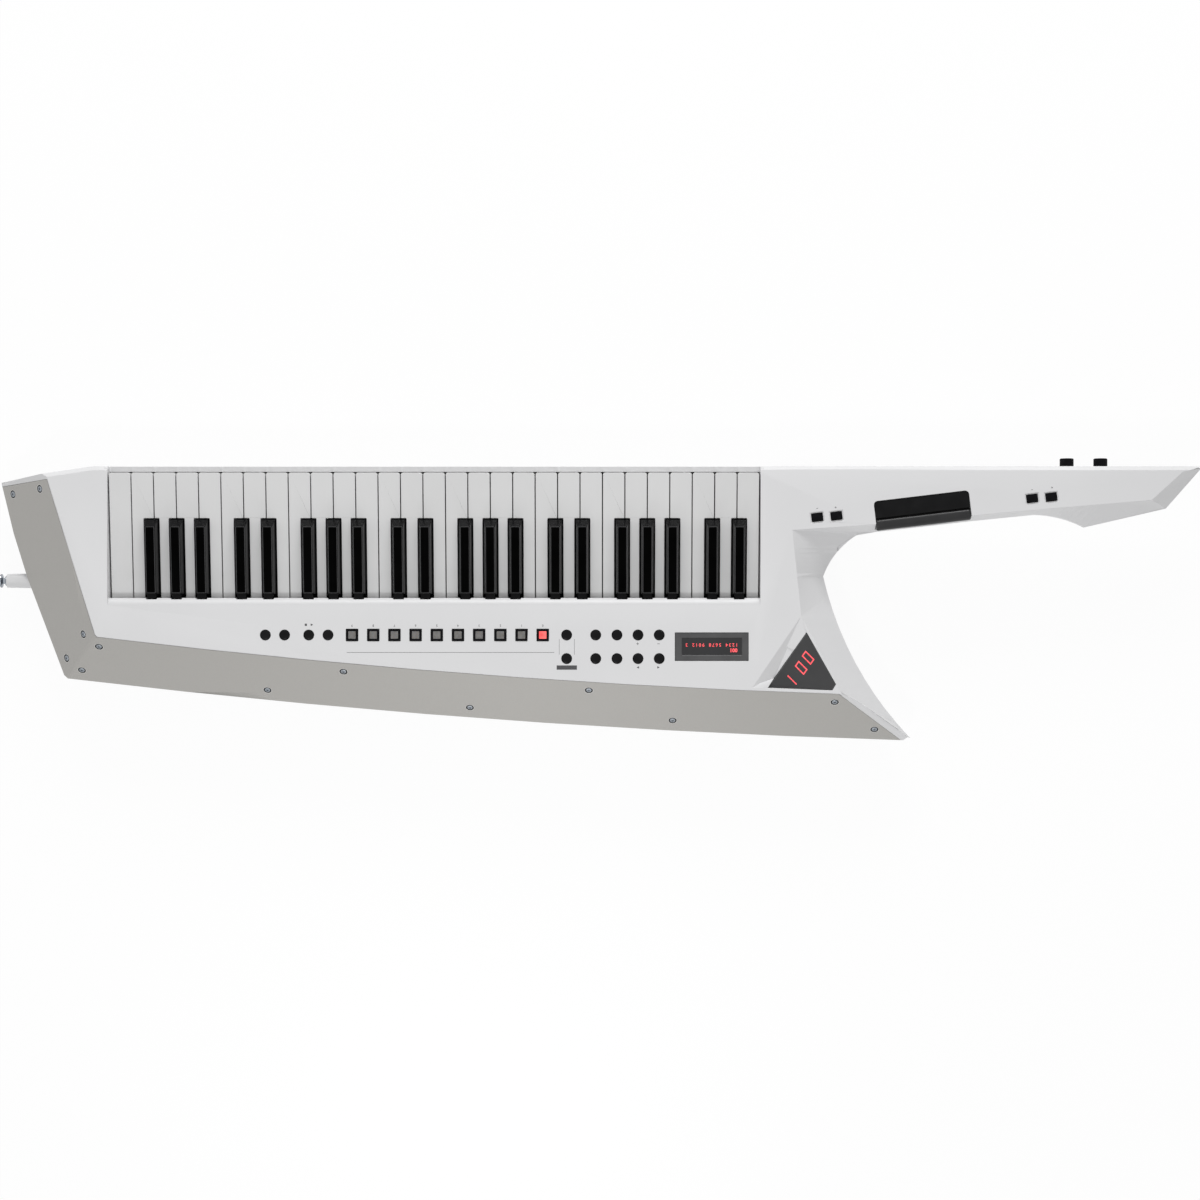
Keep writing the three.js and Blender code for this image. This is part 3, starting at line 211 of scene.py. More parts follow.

# Screws; a dark ring of painted shade round each head and a pale ring of painted highlight round its seat,
# each as outer and inner radius, lower and upper height
SCREW_RADIUS = 3.1
SCREW_EDGE = 0.9
SCREW_RISE = 0.4
SCREW_DEPTH = 1.2
SCREW_SIDES = 36
SCREW_EDGE_STEPS = 4
SOCKET_RADIUS = 1.35
SOCKET_SIDES = 6
SOCKET_DEPTH = 0.8
SCREW_TURN = 0.7
SCREW_SHADE_RING = (4.05, 2.6, -1.2, -0.15)
SEAT_HIGHLIGHT_RING = (4.75, 4.1, -0.6, 0.12)
PROBE_RADIUS = 5.4
PROBE_HEIGHT = 20
PROBE_COUNT = 3
BLADE_SCREWS = (
    (-608.1, 110.6), (-573.4, 114.9), (-529.1, -34.9), (-512.4, -47.7), (-552.3, -60.2),
    (-535.9, -72.7), (-342.6, -93.4), (-260.5, -73.4), (-131.8, -111.6), (-7.8, -92.6),
    (79.3, -125.0), (245.4, -104.8), (289.5, -134.4),
)
BODY_BACK_SCREWS = (
    (-481.7, 92.4), (-300.7, 110.9), (-153.2, 110.9), (-5.8, 110.9), (148.4, 110.9),
    (-448.2, -15.6), (-287.3, -41.1), (-119.7, -55.4), (34.4, -66.7), (248.9, -78.1),
)
NECK_BACK_SCREWS = ((351.5, 109.5), (456.7, 110.9), (557.4, 116.6))
NECK_BACK_HEIGHT = 38
BACK_SEAT_RISE = 0.7

# Jacks on the ceiling of the bay in the back. The bay as its middle and ceiling, a jack as X from the
# middle, outer and inner radius and height, its bush as width and rise, a pin as radius, reach and length
JACK_BAY = (-394.5, 24.2, 16)
ROUND_JACKS = ((-46, 3.9, 2.8, 3.0), (-26, 5.8, 3.2, 4.5), (-8, 5.8, 3.2, 4.5), (10, 5.8, 3.2, 4.5))
JACK_BUSH = (1.4, 0.9)
JACK_FLOOR = 0.5
DIN_JACK = (34, 8.4, 7.2, 3.2)
DIN_PIN = (0.7, 4.8, 2.2)
DIN_PIN_TURNS = (0, 45, 90, 135, 180)

# Displays: a bezel and a window as middle, width and depth, a lens corner as X, Y and height
TEXT_BEZEL = (118.33, -47.54, 75.0, 28.6)
TEXT_WINDOW = (118.55, -47.3, 61.5, 17.6)
TEXT_BASE = 76.5
BEZEL_CORNER = 1.2
BEZEL_EDGE = 0.35
BEZEL_THICKNESS = 1.1
WINDOW_CORNER = 0.5
WINDOW_SLOPE = 0.7
WINDOW_FLOOR = 0.5
GLYPH_THICKNESS = 0.06
GLYPH_SINK = 0.02
READOUT_ROW = "1234 5678 9012 3"
READOUT_ROW_PLACE = (118.3, -45.6)
READOUT_ROW_LENGTH = 54.8
READOUT_ROW_HEIGHT = 3.4
READOUT_NUMBER = "001"
READOUT_NUMBER_PLACE = (140.7, -51.0)
READOUT_NUMBER_HEIGHT = 3.7
ROW_WEIGHT = 0.06
BOLD_WEIGHT = 0.22
LENS_CORNERS = (
    (215.65, -32.62, 77.0), (175.85, -89.74, 71.2), (242.19, -92.30, 76.9), (245.85, -86.05, 77.2),
)
LENS_PLANE = (LENS_CORNERS[0], LENS_CORNERS[1], LENS_CORNERS[3])
LENS_GAP = 0.35
LENS_BORDER = 0.9
LENS_THICKNESS = 1.4
LENS_CORNER = 0.8
LENS_EDGE = 0.3
LENS_RISE = 0.12
ZERO_STARTS = ((203.7, -67.5), (210.7, -57.1))
ONE_START = (196.5, -77.2)
DIGIT_WIDTH = (4.0, 5.66)
DIGIT_HEIGHT = (9.16, -9.16)
DIGIT_STROKE = 1.25
DIGIT_SPLIT = 0.3

# Print: a line or bar as middle, width and depth, a sign as middle and whether it is crossed
PRINT_THICKNESS = 0.05
PRINT_SINK = 0.02
DIGIT_PRINT_HEIGHT = 2.4
DIGIT_PRINT_Y = -25.8
DIGIT_CURVE_STEPS = 3
CAP_HEIGHT_SHARE = 0.7
PAD_LINE = (-149.6, -53.4, 212.8, 0.35)
BRACKETS = ((-38.1, -47.6, 0.3, 16.0), (-22.6, -47.6, 0.3, 16.0))
COLUMN_BAR = (-30.35, -68.9, 20.8, 4.4)
STOP_MARK = (-298.0, -25.0, 2.3, 2.3)
PLAY_ARROW = ((-290.6, -25.0), (-293.0, -23.7), (-293.0, -26.3))
LEFT_ARROW = ((41.3, -68.7), (43.7, -67.5), (43.7, -69.9))
RIGHT_ARROW = ((64.9, -68.7), (62.5, -67.5), (62.5, -69.9))
PANEL_SIGNS = ((42.3, -44.5, True), (63.7, -44.5, False))
PANEL_SIGN = (2.4, 0.45)
NECK_SIGNS = ((226.5, 94.4, False), (245.4, 95.4, True), (446.7, 113.5, False), (467.3, 115.7, True))
NECK_SIGN = (2.0, 0.4)

# Surfaces: two tones, roughness and its spread, scale of the tones' drift, strength and scale
# of the grain, and the shader's other values
NOISE_DETAIL = 3
FULL_TONE = 255
RAMP_SHARES = (0.35, 0.65)
GLOSS_DRIFT = 90
GRAIN_HEIGHT = 0.05
SURFACES = {
    "white_shell": ("#d9d9da", "#dcdcdd", 0.42, 0.05, 7, 0.25, 2600, {}),
    "blade_grey": ("#aba9a5", "#b1afab", 0.42, 0.06, 1800, 0.2, 3200, {"Metallic": 0.15}),
    # The pale ring round each blade screw's seat is a painted highlight
    "seat_painted_highlight": ("#c4c3c0", "#cdccc9", 0.35, 0.05, 60, 0.2, 2400, {}),
    "white_key": ("#d6d6d6", "#dadada", 0.24, 0.04, 12, 0.05, 1200, {"Coat Weight": 0.2}),
    "black_key": ("#060607", "#0b0b0c", 0.25, 0.04, 60, 0.12, 1500, {"Specular IOR Level": 0.07}),
    "key_inlay": ("#020202", "#040404", 0.3, 0.04, 60, 0.12, 1500, {"Specular IOR Level": 0.01}),
    # The black keys' paler top rim is a painted highlight along their edges
    "key_edge_highlight": ("#444445", "#4e4e4f", 0.3, 0.04, 60, 0.12, 1500, {"Specular IOR Level": 0.3}),
    "gloss_black": ("#0c0c0d", "#141415", 0.25, 0.05, 60, 0.1, 1500, {"Specular IOR Level": 0.1}),
    "black_plastic": ("#08080a", "#0f0f12", 0.45, 0.06, 200, 0.3, 2400, {"Specular IOR Level": 0.06}),
    "roller_grey": ("#252526", "#2c2c2d", 0.3, 0.05, 60, 0.1, 1500, {"Specular IOR Level": 0.25}),
    "bezel_grey": ("#484849", "#505051", 0.4, 0.06, 60, 0.2, 1800, {"Specular IOR Level": 0.3}),
    "window_grey": ("#282829", "#2d2d2f", 0.2, 0.04, 30, 0.05, 900, {"Specular IOR Level": 0.3}),
    "chassis_plastic": ("#2c2d30", "#36383b", 0.65, 0.08, 40, 0.4, 1500, {}),
    "circuit_board": ("#17402d", "#235c41", 0.5, 0.1, 420, 0.4, 700, {}),
    "strap_chrome": ("#8f949b", "#a6abb1", 0.14, 0.05, 60, 0.1, 900, {"Metallic": 1.0}),
    "screw_steel": ("#868b91", "#999ea4", 0.4, 0.08, 500, 0.4, 1800, {"Metallic": 0.8}),
    "display_lens": ("#363637", "#3c3c3d", 0.18, 0.03, 30, 0.03, 900, {"Specular IOR Level": 0.35}),
    "display_red": ("#ef4a52", "#f25a60", 0.35, 0.05, 160, 0.1, 900, {"Emission Strength": 0.55}),
    "pad_lit": ("#ee4b4b", "#f36a66", 0.35, 0.05, 160, 0.1, 900, {"Emission Strength": 0.5}),
    "print_grey": ("#3f3f41", "#4a4a4c", 0.6, 0.06, 900, 0.2, 3000, {}),
    "pad_cap": ("#6a6562", "#7a7472", 0.4, 0.06, 300, 0.2, 1600, {"Subsurface Weight": 0.15}),
}
GLOWING = ("display_red", "pad_lit")
FLOOR_SURFACE = ("#f2f2f2", "#f5f5f5", 0.85, 0.05, 3, 0.05, 300, {"Specular IOR Level": 0.1})


def rgb(hex_colour):
    """A colour written as on a screen, as the shader's linear values."""
    tones = bytes.fromhex(hex_colour.lstrip("#"))
    return (*Color([tone / FULL_TONE for tone in tones]).from_srgb_to_scene_linear(), 1)


# Materials
def surface(name, colour, other, roughness, spread, drift, bump, grain, values):
    """A plastic or metal whose colour drifts between two tones, with uneven gloss and a fine grain."""
    made = bpy.data.materials.new(name)
    made.use_nodes = True
    nodes, links = made.node_tree.nodes, made.node_tree.links
    shader = nodes["Principled BSDF"]
    for socket, value in values.items():
        shader.inputs[socket].default_value = value
    place = nodes.new("ShaderNodeTexCoord").outputs["Object"]

    def noise(scale):
        node = nodes.new("ShaderNodeTexNoise")
        node.inputs["Scale"].default_value = scale
        node.inputs["Detail"].default_value = NOISE_DETAIL
        links.new(place, node.inputs["Vector"])
        return node.outputs["Fac"]

    ramp = nodes.new("ShaderNodeValToRGB")
    for element, position, tone in zip(ramp.color_ramp.elements, RAMP_SHARES, (colour, other)):
        element.position = position
        element.color = rgb(tone)
    links.new(noise(drift), ramp.inputs["Fac"])
    links.new(ramp.outputs["Color"], shader.inputs["Base Color"])

    gloss = nodes.new("ShaderNodeMapRange")
    gloss.inputs["To Min"].default_value = roughness - spread
    gloss.inputs["To Max"].default_value = roughness + spread
    links.new(noise(GLOSS_DRIFT), gloss.inputs["Value"])
    links.new(gloss.outputs["Result"], shader.inputs["Roughness"])

    relief = nodes.new("ShaderNodeBump")
    relief.inputs["Strength"].default_value = bump
    relief.inputs["Distance"].default_value = GRAIN_HEIGHT * MM
    links.new(noise(grain), relief.inputs["Height"])
    links.new(relief.outputs["Normal"], shader.inputs["Normal"])
    return made


def light_up(material):
    """Lets the drifting colour glow, unevenly as from a small lamp behind it."""
    nodes, links = material.node_tree.nodes, material.node_tree.links
    links.new(nodes["Color Ramp"].outputs["Color"], nodes["Principled BSDF"].inputs["Emission Color"])


def make_materials():
    made = {name: surface(name, *values) for name, values in SURFACES.items()}
    for name in GLOWING:
        light_up(made[name])
    return made


# Shapes: pairs of a list of vertices and a list of faces, in millimetres
def joined(shapes):
    vertices, faces = [], []
    for shape_vertices, shape_faces in shapes:
        start = len(vertices)
        vertices += shape_vertices
        faces += [[index + start for index in face] for face in shape_faces]
    return vertices, faces


def moved(shape, matrix):
    return [matrix @ Vector(vertex) for vertex in shape[0]], shape[1]


def shifted(shape, x, y, z=0):
    return moved(shape, Matrix.Translation((x, y, z)))


def turned(angle, axis="Z"):
    return Matrix.Rotation(angle, SPACE_ROWS, axis)


def flat_points(pairs):
    return [Vector(pair) for pair in pairs]


def rectangle(x, y, width, depth):
    left, right, low, high = x - width / 2, x + width / 2, y - depth / 2, y + depth / 2
    return flat_points([(left, low), (right, low), (right, high), (left, high)])


def circle(radius, sides=ROUND_SIDES):
    turns = [math.tau * step / sides for step in range(sides)]
    return [Vector((radius * math.cos(turn), radius * math.sin(turn))) for turn in turns]


def raised(outline, height):
    return [(*point, height) for point in outline]


def quarter_turn(steps):
    """Pairs of sine and cosine from 0 to a quarter turn."""
    turns = [math.pi / 2 * step / steps for step in range(steps + 1)]
    return [(math.sin(turn), math.cos(turn)) for turn in turns]


def filleted(points, radii, steps=FILLET_STEPS):
    """The outline with each corner rounded, by one radius or by its own."""
    outline = []
    for index, point in enumerate(points):
        radius = radii[index] if isinstance(radii, (list, tuple)) else radii
        back = (points[index - 1] - point).normalized()
        on = (points[(index + 1) % len(points)] - point).normalized()
        half = back.angle(on) / 2
        if radius <= 0:
            outline.append(point.copy())
            continue
        reach = radius / math.tan(half)
        centre = point + (back + on).normalized() * radius / math.sin(half)
        start, end = point + back * reach - centre, point + on * reach - centre
        sweep = start.angle_signed(end)
        for step in range(steps + 1):
            outline.append(centre + Matrix.Rotation(-sweep * step / steps, PLANE_ROWS) @ start)
    return outline


def inset(points, distance):
    """The outline moved inwards, each corner on its mitre."""
    result = []
    for index, point in enumerate(points):
        before = (point - points[index - 1]).normalized()
        after = (points[(index + 1) % len(points)] - point).normalized()
        mitre = Vector((-before.y - after.y, before.x + after.x)).normalized()
        spread = -mitre.x * before.y + mitre.y * before.x
        result.append(point + mitre * distance / max(spread, MITRE_LIMIT))
    return result


def strips(count, pairs):
    """The quads between pairs of levels, each a ring of so many points."""
    faces = []
    for here, there in pairs:
        for index in range(count):
            ahead = (index + 1) % count
            low, high = here * count, there * count
            faces.append([low + index, low + ahead, high + ahead, high + index])
    return faces


def stacked(rings):
    """A closed solid through rings of points, capped at both ends."""
    count, last = len(rings[0]), len(rings) - 1
    vertices = [Vector(point) for ring in rings for point in ring]
    caps = [list(range(count))[::-1], list(range(count * last, count * (last + 1)))]
    return vertices, caps + strips(count, [(level, level + 1) for level in range(last)])


def band(rings):
    """A closed ring-shaped solid: the last ring of points is joined to the first."""
    levels = range(len(rings))
    vertices = [Vector(point) for ring in rings for point in ring]
    return vertices, strips(len(rings[0]), [(level, (level + 1) % len(rings)) for level in levels])


def slab(outline, low, high, edge=0.0, crown=0.0, steps=EDGE_STEPS):
    """An upright prism, with a rounded top edge and a domed top where these are given."""
    rings = [raised(outline, low)]
    if edge <= 0:
        return stacked([*rings, raised(outline, high)])
    for sine, cosine in quarter_turn(steps):
        rings.append(raised(inset(outline, edge * (1 - cosine)), high - edge + edge * sine))
    if crown:
        middle = sum(outline, Vector((0, 0))) / len(outline)
        rim = inset(outline, edge)
        for share, rise in CROWN_SHARES:
            dome = [middle + (point - middle) * share for point in rim]
            rings.append(raised(dome, high + crown * rise))
    return stacked(rings)


def lathe(profile, sides=ROUND_SIDES, flute=None):
    """A closed solid of revolution about Z, through pairs of radius and height."""
    rings = []
    for radius, height in profile:
        ring = []
        for step in range(sides):
            turn = math.tau * step / sides
            reach = radius + (flute(radius, height, turn) if flute else 0)
            ring.append((reach * math.cos(turn), reach * math.sin(turn), height))
        rings.append(ring)
    return stacked(rings)


def tube(outer, inner, low, high):
    """A plain ring about Z."""
    corners = ((outer, low), (outer, high), (inner, high), (inner, low))
    return band([raised(circle(radius), height) for radius, height in corners])


def lettering(text, height, weight=0.0):
    """Plain digits lying flat, centred on the origin and turned like the player's view."""
    curve = bpy.data.curves.new("digits", "FONT")
    curve.body = text
    curve.size = height / CAP_HEIGHT_SHARE
    curve.resolution_u = DIGIT_CURVE_STEPS
    curve.extrude = PRINT_THICKNESS / 2
    curve.offset = weight
    curve.align_x = "CENTER"
    curve.align_y = "CENTER"
    maker = bpy.data.objects.new("digits", curve)
    bpy.context.scene.collection.objects.link(maker)
    bpy.context.view_layer.update()
    mesh = maker.to_mesh()
    vertices = [vertex.co.copy() for vertex in mesh.vertices]
    faces = [list(face.vertices) for face in mesh.polygons]
    maker.to_mesh_clear()
    bpy.data.objects.remove(maker)
    bpy.data.curves.remove(curve)
    return moved((vertices, faces), turned(math.pi))


# Pieces
def even_shading(made):
    shade = made.modifiers.new("even_shading", "WEIGHTED_NORMAL")
    shade.keep_sharp = True


def mesh_piece(name, shape, material):
    """A mesh with rounded sides shaded smooth, and its flat end faces left flat."""
    mesh = bpy.data.meshes.new(name)
    mesh.from_pydata([Vector(vertex) * MM for vertex in shape[0]], [], shape[1])
    work = bmesh.new()
    work.from_mesh(mesh)
    bmesh.ops.remove_doubles(work, verts=work.verts, dist=TOUCH * MM)
    bmesh.ops.recalc_face_normals(work, faces=work.faces)
    work.to_mesh(mesh)
    work.free()
    for face in mesh.polygons:
        face.use_smooth = len(face.vertices) <= SMOOTH_SIDES
    mesh.set_sharp_from_angle(angle=SHARP_ANGLE)
    mesh.materials.append(material)
    made = bpy.data.objects.new(name, mesh)
    bpy.context.scene.collection.objects.link(made)
    return made


def round_edges(made, width, segments, angle):
    edge = made.modifiers.new("soft_edges", "BEVEL")
    edge.width = width * MM
    edge.segments = segments
    edge.limit_method = "ANGLE"
    edge.angle_limit = angle
    edge.harden_normals = True


def add_piece(name, shape, slot, body, replaces=(), material=None, edges=None):
    """A dressed piece that rides on a body; edges is the width, steps and angle of a rounding."""
    made = mesh_piece(name, shape, MATERIALS[material or slot])
    if edges:
        round_edges(made, *edges)
    even_shading(made)
    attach(made, body)
    if replaces:
        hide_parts(*replaces)


# Places in millimetres: the frame's boxes and joints, and heights on a plane
def node_box(node):
    low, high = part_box(node)
    return low / MM, high / MM


def plane_height(point, normal, x, y):
    """How high the plane through a point lies at another place."""
    return point.z - ((x - point.x) * normal.x + (y - point.y) * normal.y) / normal.z


def joint_place(name):
    found = next(joint for joint in frame["joints"] if joint["name"] == name)
    return Vector(found["pos_m"]) / MM


# Kept shells
def without_given_normals(mesh):
    if "custom_normal" in mesh.attributes:
        mesh.attributes.remove(mesh.attributes["custom_normal"])
    return mesh


def narrow_end(edge):
    """Whether another edge runs nearly beside this one, where a rounding would stick out."""
    for vertex in edge.verts:
        along = edge.other_vert(vertex).co - vertex.co
        for other in vertex.link_edges:
            if other is not edge and along.angle(other.other_vert(vertex).co - vertex.co) < NARROW_ANGLE:
                return True
    return False


def mark_edges(work):
    """Marks the creases, but not those within a curve of slivers, and lists the edges to be rounded."""
    rounded = []
    for edge in work.edges:
        angle = edge.calc_face_angle(0)
        if angle >= EDGE_ANGLE:
            edge.smooth = not narrow_end(edge)
            if edge.smooth:
                rounded.append(edge)
            continue
        level = any(face.normal.z > LEVEL_NORMAL for face in edge.link_faces)
        widest = max(face.calc_area() for face in edge.link_faces)
        sliver = widest < SLIVER_SHARE * edge.calc_length() ** 2
        edge.smooth = sliver or (angle < CREASE_ANGLE and not level)
    return rounded


def soften_shell(node, slot, width):
    """The node's own shape, with its flat faces merged and its sharp edges rounded."""
    mesh = without_given_normals(frame["nodes"][node].data.copy())
    mesh.materials.clear()
    mesh.materials.append(MATERIALS[slot])
    work = bmesh.new()
    work.from_mesh(mesh)
    bmesh.ops.remove_doubles(work, verts=work.verts, dist=WELD_DISTANCE * MM)
    bmesh.ops.dissolve_limit(work, angle_limit=FLAT_ANGLE, verts=work.verts, edges=work.edges)
    for element in (*work.faces, *work.edges):
        element.smooth = True
    bmesh.ops.bevel(
        work, geom=mark_edges(work), offset=width * MM, offset_type="OFFSET", profile=SHELL_PROFILE_SHARE,
        segments=SHELL_SEGMENTS, affect="EDGES", clamp_overlap=False,
    )
    work.to_mesh(mesh)
    work.free()
    made = bpy.data.objects.new(f"{node}_shell", mesh)
    bpy.context.scene.collection.objects.link(made)
    even_shading(made)
    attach(made, "root")
    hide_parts(node)


def plain_node(node, slot):
    mesh = without_given_normals(frame["nodes"][node].data)
    mesh.materials.clear()
    mesh.materials.append(MATERIALS[slot])
    mesh.shade_flat()


# Keys
def black_middle(row_start, index):
    """The middle of the black key after a white one, or None."""
    shift = BLACK_SHIFT_SHARES.get(index % OCTAVE_KEYS)
    if shift is None or not 0 <= index < WHITE_COUNT - 1:
        return None
    return row_start + (index + 1 + shift) * KEY_PITCH


def white_key_shape(row_start, index):
    left = row_start + index * KEY_PITCH + KEY_GAP / 2
    right = left + KEY_PITCH - KEY_GAP
    notch = BLACK_WIDTH / 2 + BLACK_NOTCH_GAP
    before, after = black_middle(row_start, index - 1), black_middle(row_start, index)
    end = BLACK_END + BLACK_NOTCH_GAP
    rear_left = left if before is None else before + notch
    rear_right = right if after is None else after - notch
    corners = [(rear_left, -KEY_TAIL, 0), (rear_right, -KEY_TAIL, 0)]
    if after is not None:
        corners += [(rear_right, end, KEY_NOTCH_CORNER), (right, end, KEY_SIDE_CORNER)]
    corners += [(right, KEY_LENGTH, KEY_FRONT_CORNER), (left, KEY_LENGTH, KEY_FRONT_CORNER)]
    if before is not None:
        corners += [(left, end, KEY_SIDE_CORNER), (rear_left, end, KEY_NOTCH_CORNER)]
    points = flat_points([corner[:2] for corner in corners])
    outline = filleted(points, [corner[2] for corner in corners], KEY_CORNER_STEPS)
    vertices, faces = slab(outline, KEY_BOTTOM, KEY_TOP, KEY_EDGE)
    for vertex in vertices:
        if vertex.y > end + KEY_DRAFT_START:
            vertex.y -= KEY_FRONT_DRAFT * (KEY_TOP - vertex.z) / (KEY_TOP - KEY_BOTTOM)
    return vertices, faces


def black_cap_shape(middle):
    """The visible part of a black key: an upright skirt, then tapering sides up to the top."""
    top_start, top_end = BLACK_START + BLACK_REAR_SLOPE, BLACK_END - BLACK_FRONT_SLOPE
    levels = (
        (BLACK_LOW, BLACK_WIDTH, BLACK_START, BLACK_END),
        (BLACK_SIDE, BLACK_WIDTH, BLACK_START, BLACK_END),
        (BLACK_TOP, BLACK_TOP_WIDTH, top_start, top_end),
    )
    return stacked([
        raised(rectangle(middle, (start + end) / 2, width, end - start), height)
        for height, width, start, end in levels
    ])


def black_top_shapes(middle):
    """The flat, very dark top of a black key, and a paler rim around it that is a painted highlight along
    the top's edges.
    """
    start, end = BLACK_START + BLACK_REAR_SLOPE, BLACK_END - BLACK_FRONT_SLOPE
    top = rectangle(middle, (start + end) / 2, BLACK_TOP_WIDTH, end - start)
    inner = filleted(inset(top, INLAY_INSET), INLAY_CORNER)
    outer = inset(inner, -INLAY_HIGHLIGHT)
    low, high = BLACK_TOP - INLAY_SINK, BLACK_TOP + INLAY_RISE
    rim = band([raised(outer, low), raised(outer, high), raised(inner, high), raised(inner, low)])
    return slab(inner, low, high), rim


def black_stem_shape(middle):
    """The step behind a black key's cap, and the lever below both."""
    heel_end, stem_end = BLACK_START + BLACK_REAR_SLOPE, BLACK_END - BLACK_FRONT_SLOPE
    heel_middle, stem_middle = (HEEL_START + heel_end) / 2, (stem_end - KEY_TAIL) / 2
    heel = rectangle(middle, heel_middle, BLACK_TAB_WIDTH, heel_end - HEEL_START)
    corners = [HEEL_CORNER, HEEL_CORNER, 0, 0]
    stem = rectangle(middle, stem_middle, BLACK_TAB_WIDTH, stem_end + KEY_TAIL)
    return joined([
        slab(filleted(heel, corners, KEY_CORNER_STEPS), STEM_TOP, HEEL_TOP, HEEL_EDGE),
        slab(stem, KEY_BOTTOM, STEM_TOP),
    ])


def add_keys(row_start, pivot):
    matrix = Matrix.Translation(pivot) @ turned(KEY_TILT, "X")
    for index in range(WHITE_COUNT):
        white = f"white_key_{index + 1:02d}"
        shape = moved(white_key_shape(row_start, index), matrix)
        add_piece(f"{white}_cap", shape, "white_key", white, [white])
        middle = black_middle(row_start, index)
        if middle is None:
            continue
        black = f"black_key_{index + 1:02d}"
        cap, stem = moved(black_cap_shape(middle), matrix), moved(black_stem_shape(middle), matrix)
        add_piece(f"{black}_cap", cap, "black_key", black, [black], edges=BLACK_ROUNDING)
        add_piece(f"{black}_stem", stem, "black_key", black)
        inlay, rim = black_top_shapes(middle)
        add_piece(f"{black}_inlay", moved(inlay, matrix), "black_key", black, material="key_inlay")
        # The rim is a painted highlight along the black key's top edges
        add_piece(f"{black}_rim", moved(rim, matrix), "black_key", black, material="key_edge_highlight")


# Panel buttons
def pad_places():
    step = (PAD_XS[1] - PAD_XS[0]) / (PAD_COUNT - 1)
    return [PAD_XS[0] + index * step for index in range(PAD_COUNT)]


def mat_outline():
    """The button mat under both rows: long under the upper row, short under the lower one."""
    margin = MAT_WIDTH / 2
    left, right, step = LEFT_ROUNDS[0] - margin, COLUMN_XS[-1] + margin, FIRST_COLUMN_X - margin
    low, high, upper_low = LOWER_ROW - margin, UPPER_ROW + margin, UPPER_ROW - margin
    return flat_points([
        (left, upper_low), (step, upper_low), (step, low), (right, low), (right, high), (left, high),
    ])


def add_panel_buttons():
    top = node_box("panel_buttons")[1].z
    base = top - CAP_DEPTH
    cap = slab(circle(ROUND_RADIUS), base, top - ROUND_CROWN, CAP_EDGE, ROUND_CROWN)
    rounds = [(x, UPPER_ROW) for x in LEFT_ROUNDS]
    rounds += [(x, row) for x in (FIRST_COLUMN_X, *COLUMN_XS) for row in (UPPER_ROW, LOWER_ROW)]
    caps = joined([shifted(cap, x, y) for x, y in rounds])
    add_piece("round_caps", caps, "gloss_black", "panel_buttons", ["panel_buttons"])
    border = filleted(rectangle(0, 0, PAD_WIDTH, PAD_WIDTH), PAD_CORNER)
    middle = filleted(rectangle(0, 0, PAD_CENTRE, PAD_CENTRE), PAD_CENTRE_CORNER)
    pad = slab(border, base, top - PAD_CENTRE_RISE, PAD_EDGE)
    centre = slab(middle, top - PAD_CENTRE_DEPTH, top, PAD_CENTRE_EDGE)
    frames = [shifted(pad, x, UPPER_ROW) for x in pad_places()]
    *dark, lit = [shifted(centre, x, UPPER_ROW) for x in pad_places()]
    mat = slab(mat_outline(), MAT_LOW, MAT_HIGH)
    add_piece("pad_frames", joined([*frames, mat]), "black_plastic", "panel_buttons")
    add_piece("pad_centres", joined(dark), "pad_cap", "panel_buttons")
    add_piece("pad_centre_lit", lit, "display_red", "panel_buttons", material="pad_lit")


def add_neck_buttons():
    low, high = node_box("neck_buttons")
    outline = filleted(rectangle(0, 0, *NECK_CAP_SIZE), NECK_CAP_CORNER)
    cap = slab(outline, low.z + NECK_STRIP_THICKNESS / 2, high.z, NECK_CAP_EDGE)
    caps = [shifted(moved(cap, turned(NECK_SLOPE)), x, y) for x, y in NECK_CAPS]
    middle, y = (low.x + high.x) / 2, high.y - NECK_STRIP_WIDTH / 2
    strip = slab(
        rectangle(middle, y, high.x - low.x, NECK_STRIP_WIDTH), low.z, low.z + NECK_STRIP_THICKNESS,
    )
    shape = joined([*caps, strip])
    add_piece("neck_caps", shape, "black_plastic", "neck_buttons", ["neck_buttons"])


# Modulation bar
def roller_profile(length):
    """Radius and distance along the roller, with rounded ends."""
    start = [(0, 0)]
    for sine, cosine in quarter_turn(BAR_END_STEPS):
        start.append((BAR_RADIUS - BAR_END * (1 - sine), BAR_END * (1 - cosine)))
    return start + [(radius, length - along) for radius, along in reversed(start)]


def add_modulation_bar():
    pivot = joint_place("modulation_press")
    turn = turned(NECK_SLOPE)
    corner = Vector((pivot.x, pivot.y, 0)) - turn @ Vector((*BAR_PIVOT, 0))
    matrix = Matrix.Translation(corner) @ turn
    left, right, rear = BAR_GAP, BAR_LENGTH - BAR_GAP, BAR_DEPTH - BAR_GAP
    corners = flat_points([(left, PLATE_LOW_Y), (right, PLATE_LOW_Y), (right, rear), (left, rear)])
    outline = filleted(corners, [0, 0, BAR_CORNER - BAR_GAP, BAR_CORNER - BAR_GAP])
    plate = slab(outline, PLATE_TOP - PLATE_THICKNESS, PLATE_TOP, PLATE_EDGE)
    lying = Matrix.Translation((left, *BAR_AXIS)) @ turned(math.pi / 2, "Y")
    roller = moved(lathe(roller_profile(right - left), BAR_SIDES), lying)
    add_piece("bar_plate", moved(plate, matrix), "gloss_black", "modulation_bar", ["modulation_bar"])
    add_piece(
        "bar_roller", moved(roller, matrix), "gloss_black", "modulation_bar", material="roller_grey",
    )


# Knobs
def knob_flute(radius, height, turn):
    """How far the grip's flutes cut into the knob's side."""
    if radius < KNOB_RADIUS - TOUCH or height > KNOB_END - KNOB_EDGE:
        return 0
    return -KNOB_FLUTE_DEPTH * (1 - math.cos(KNOB_FLUTES * turn)) / 2


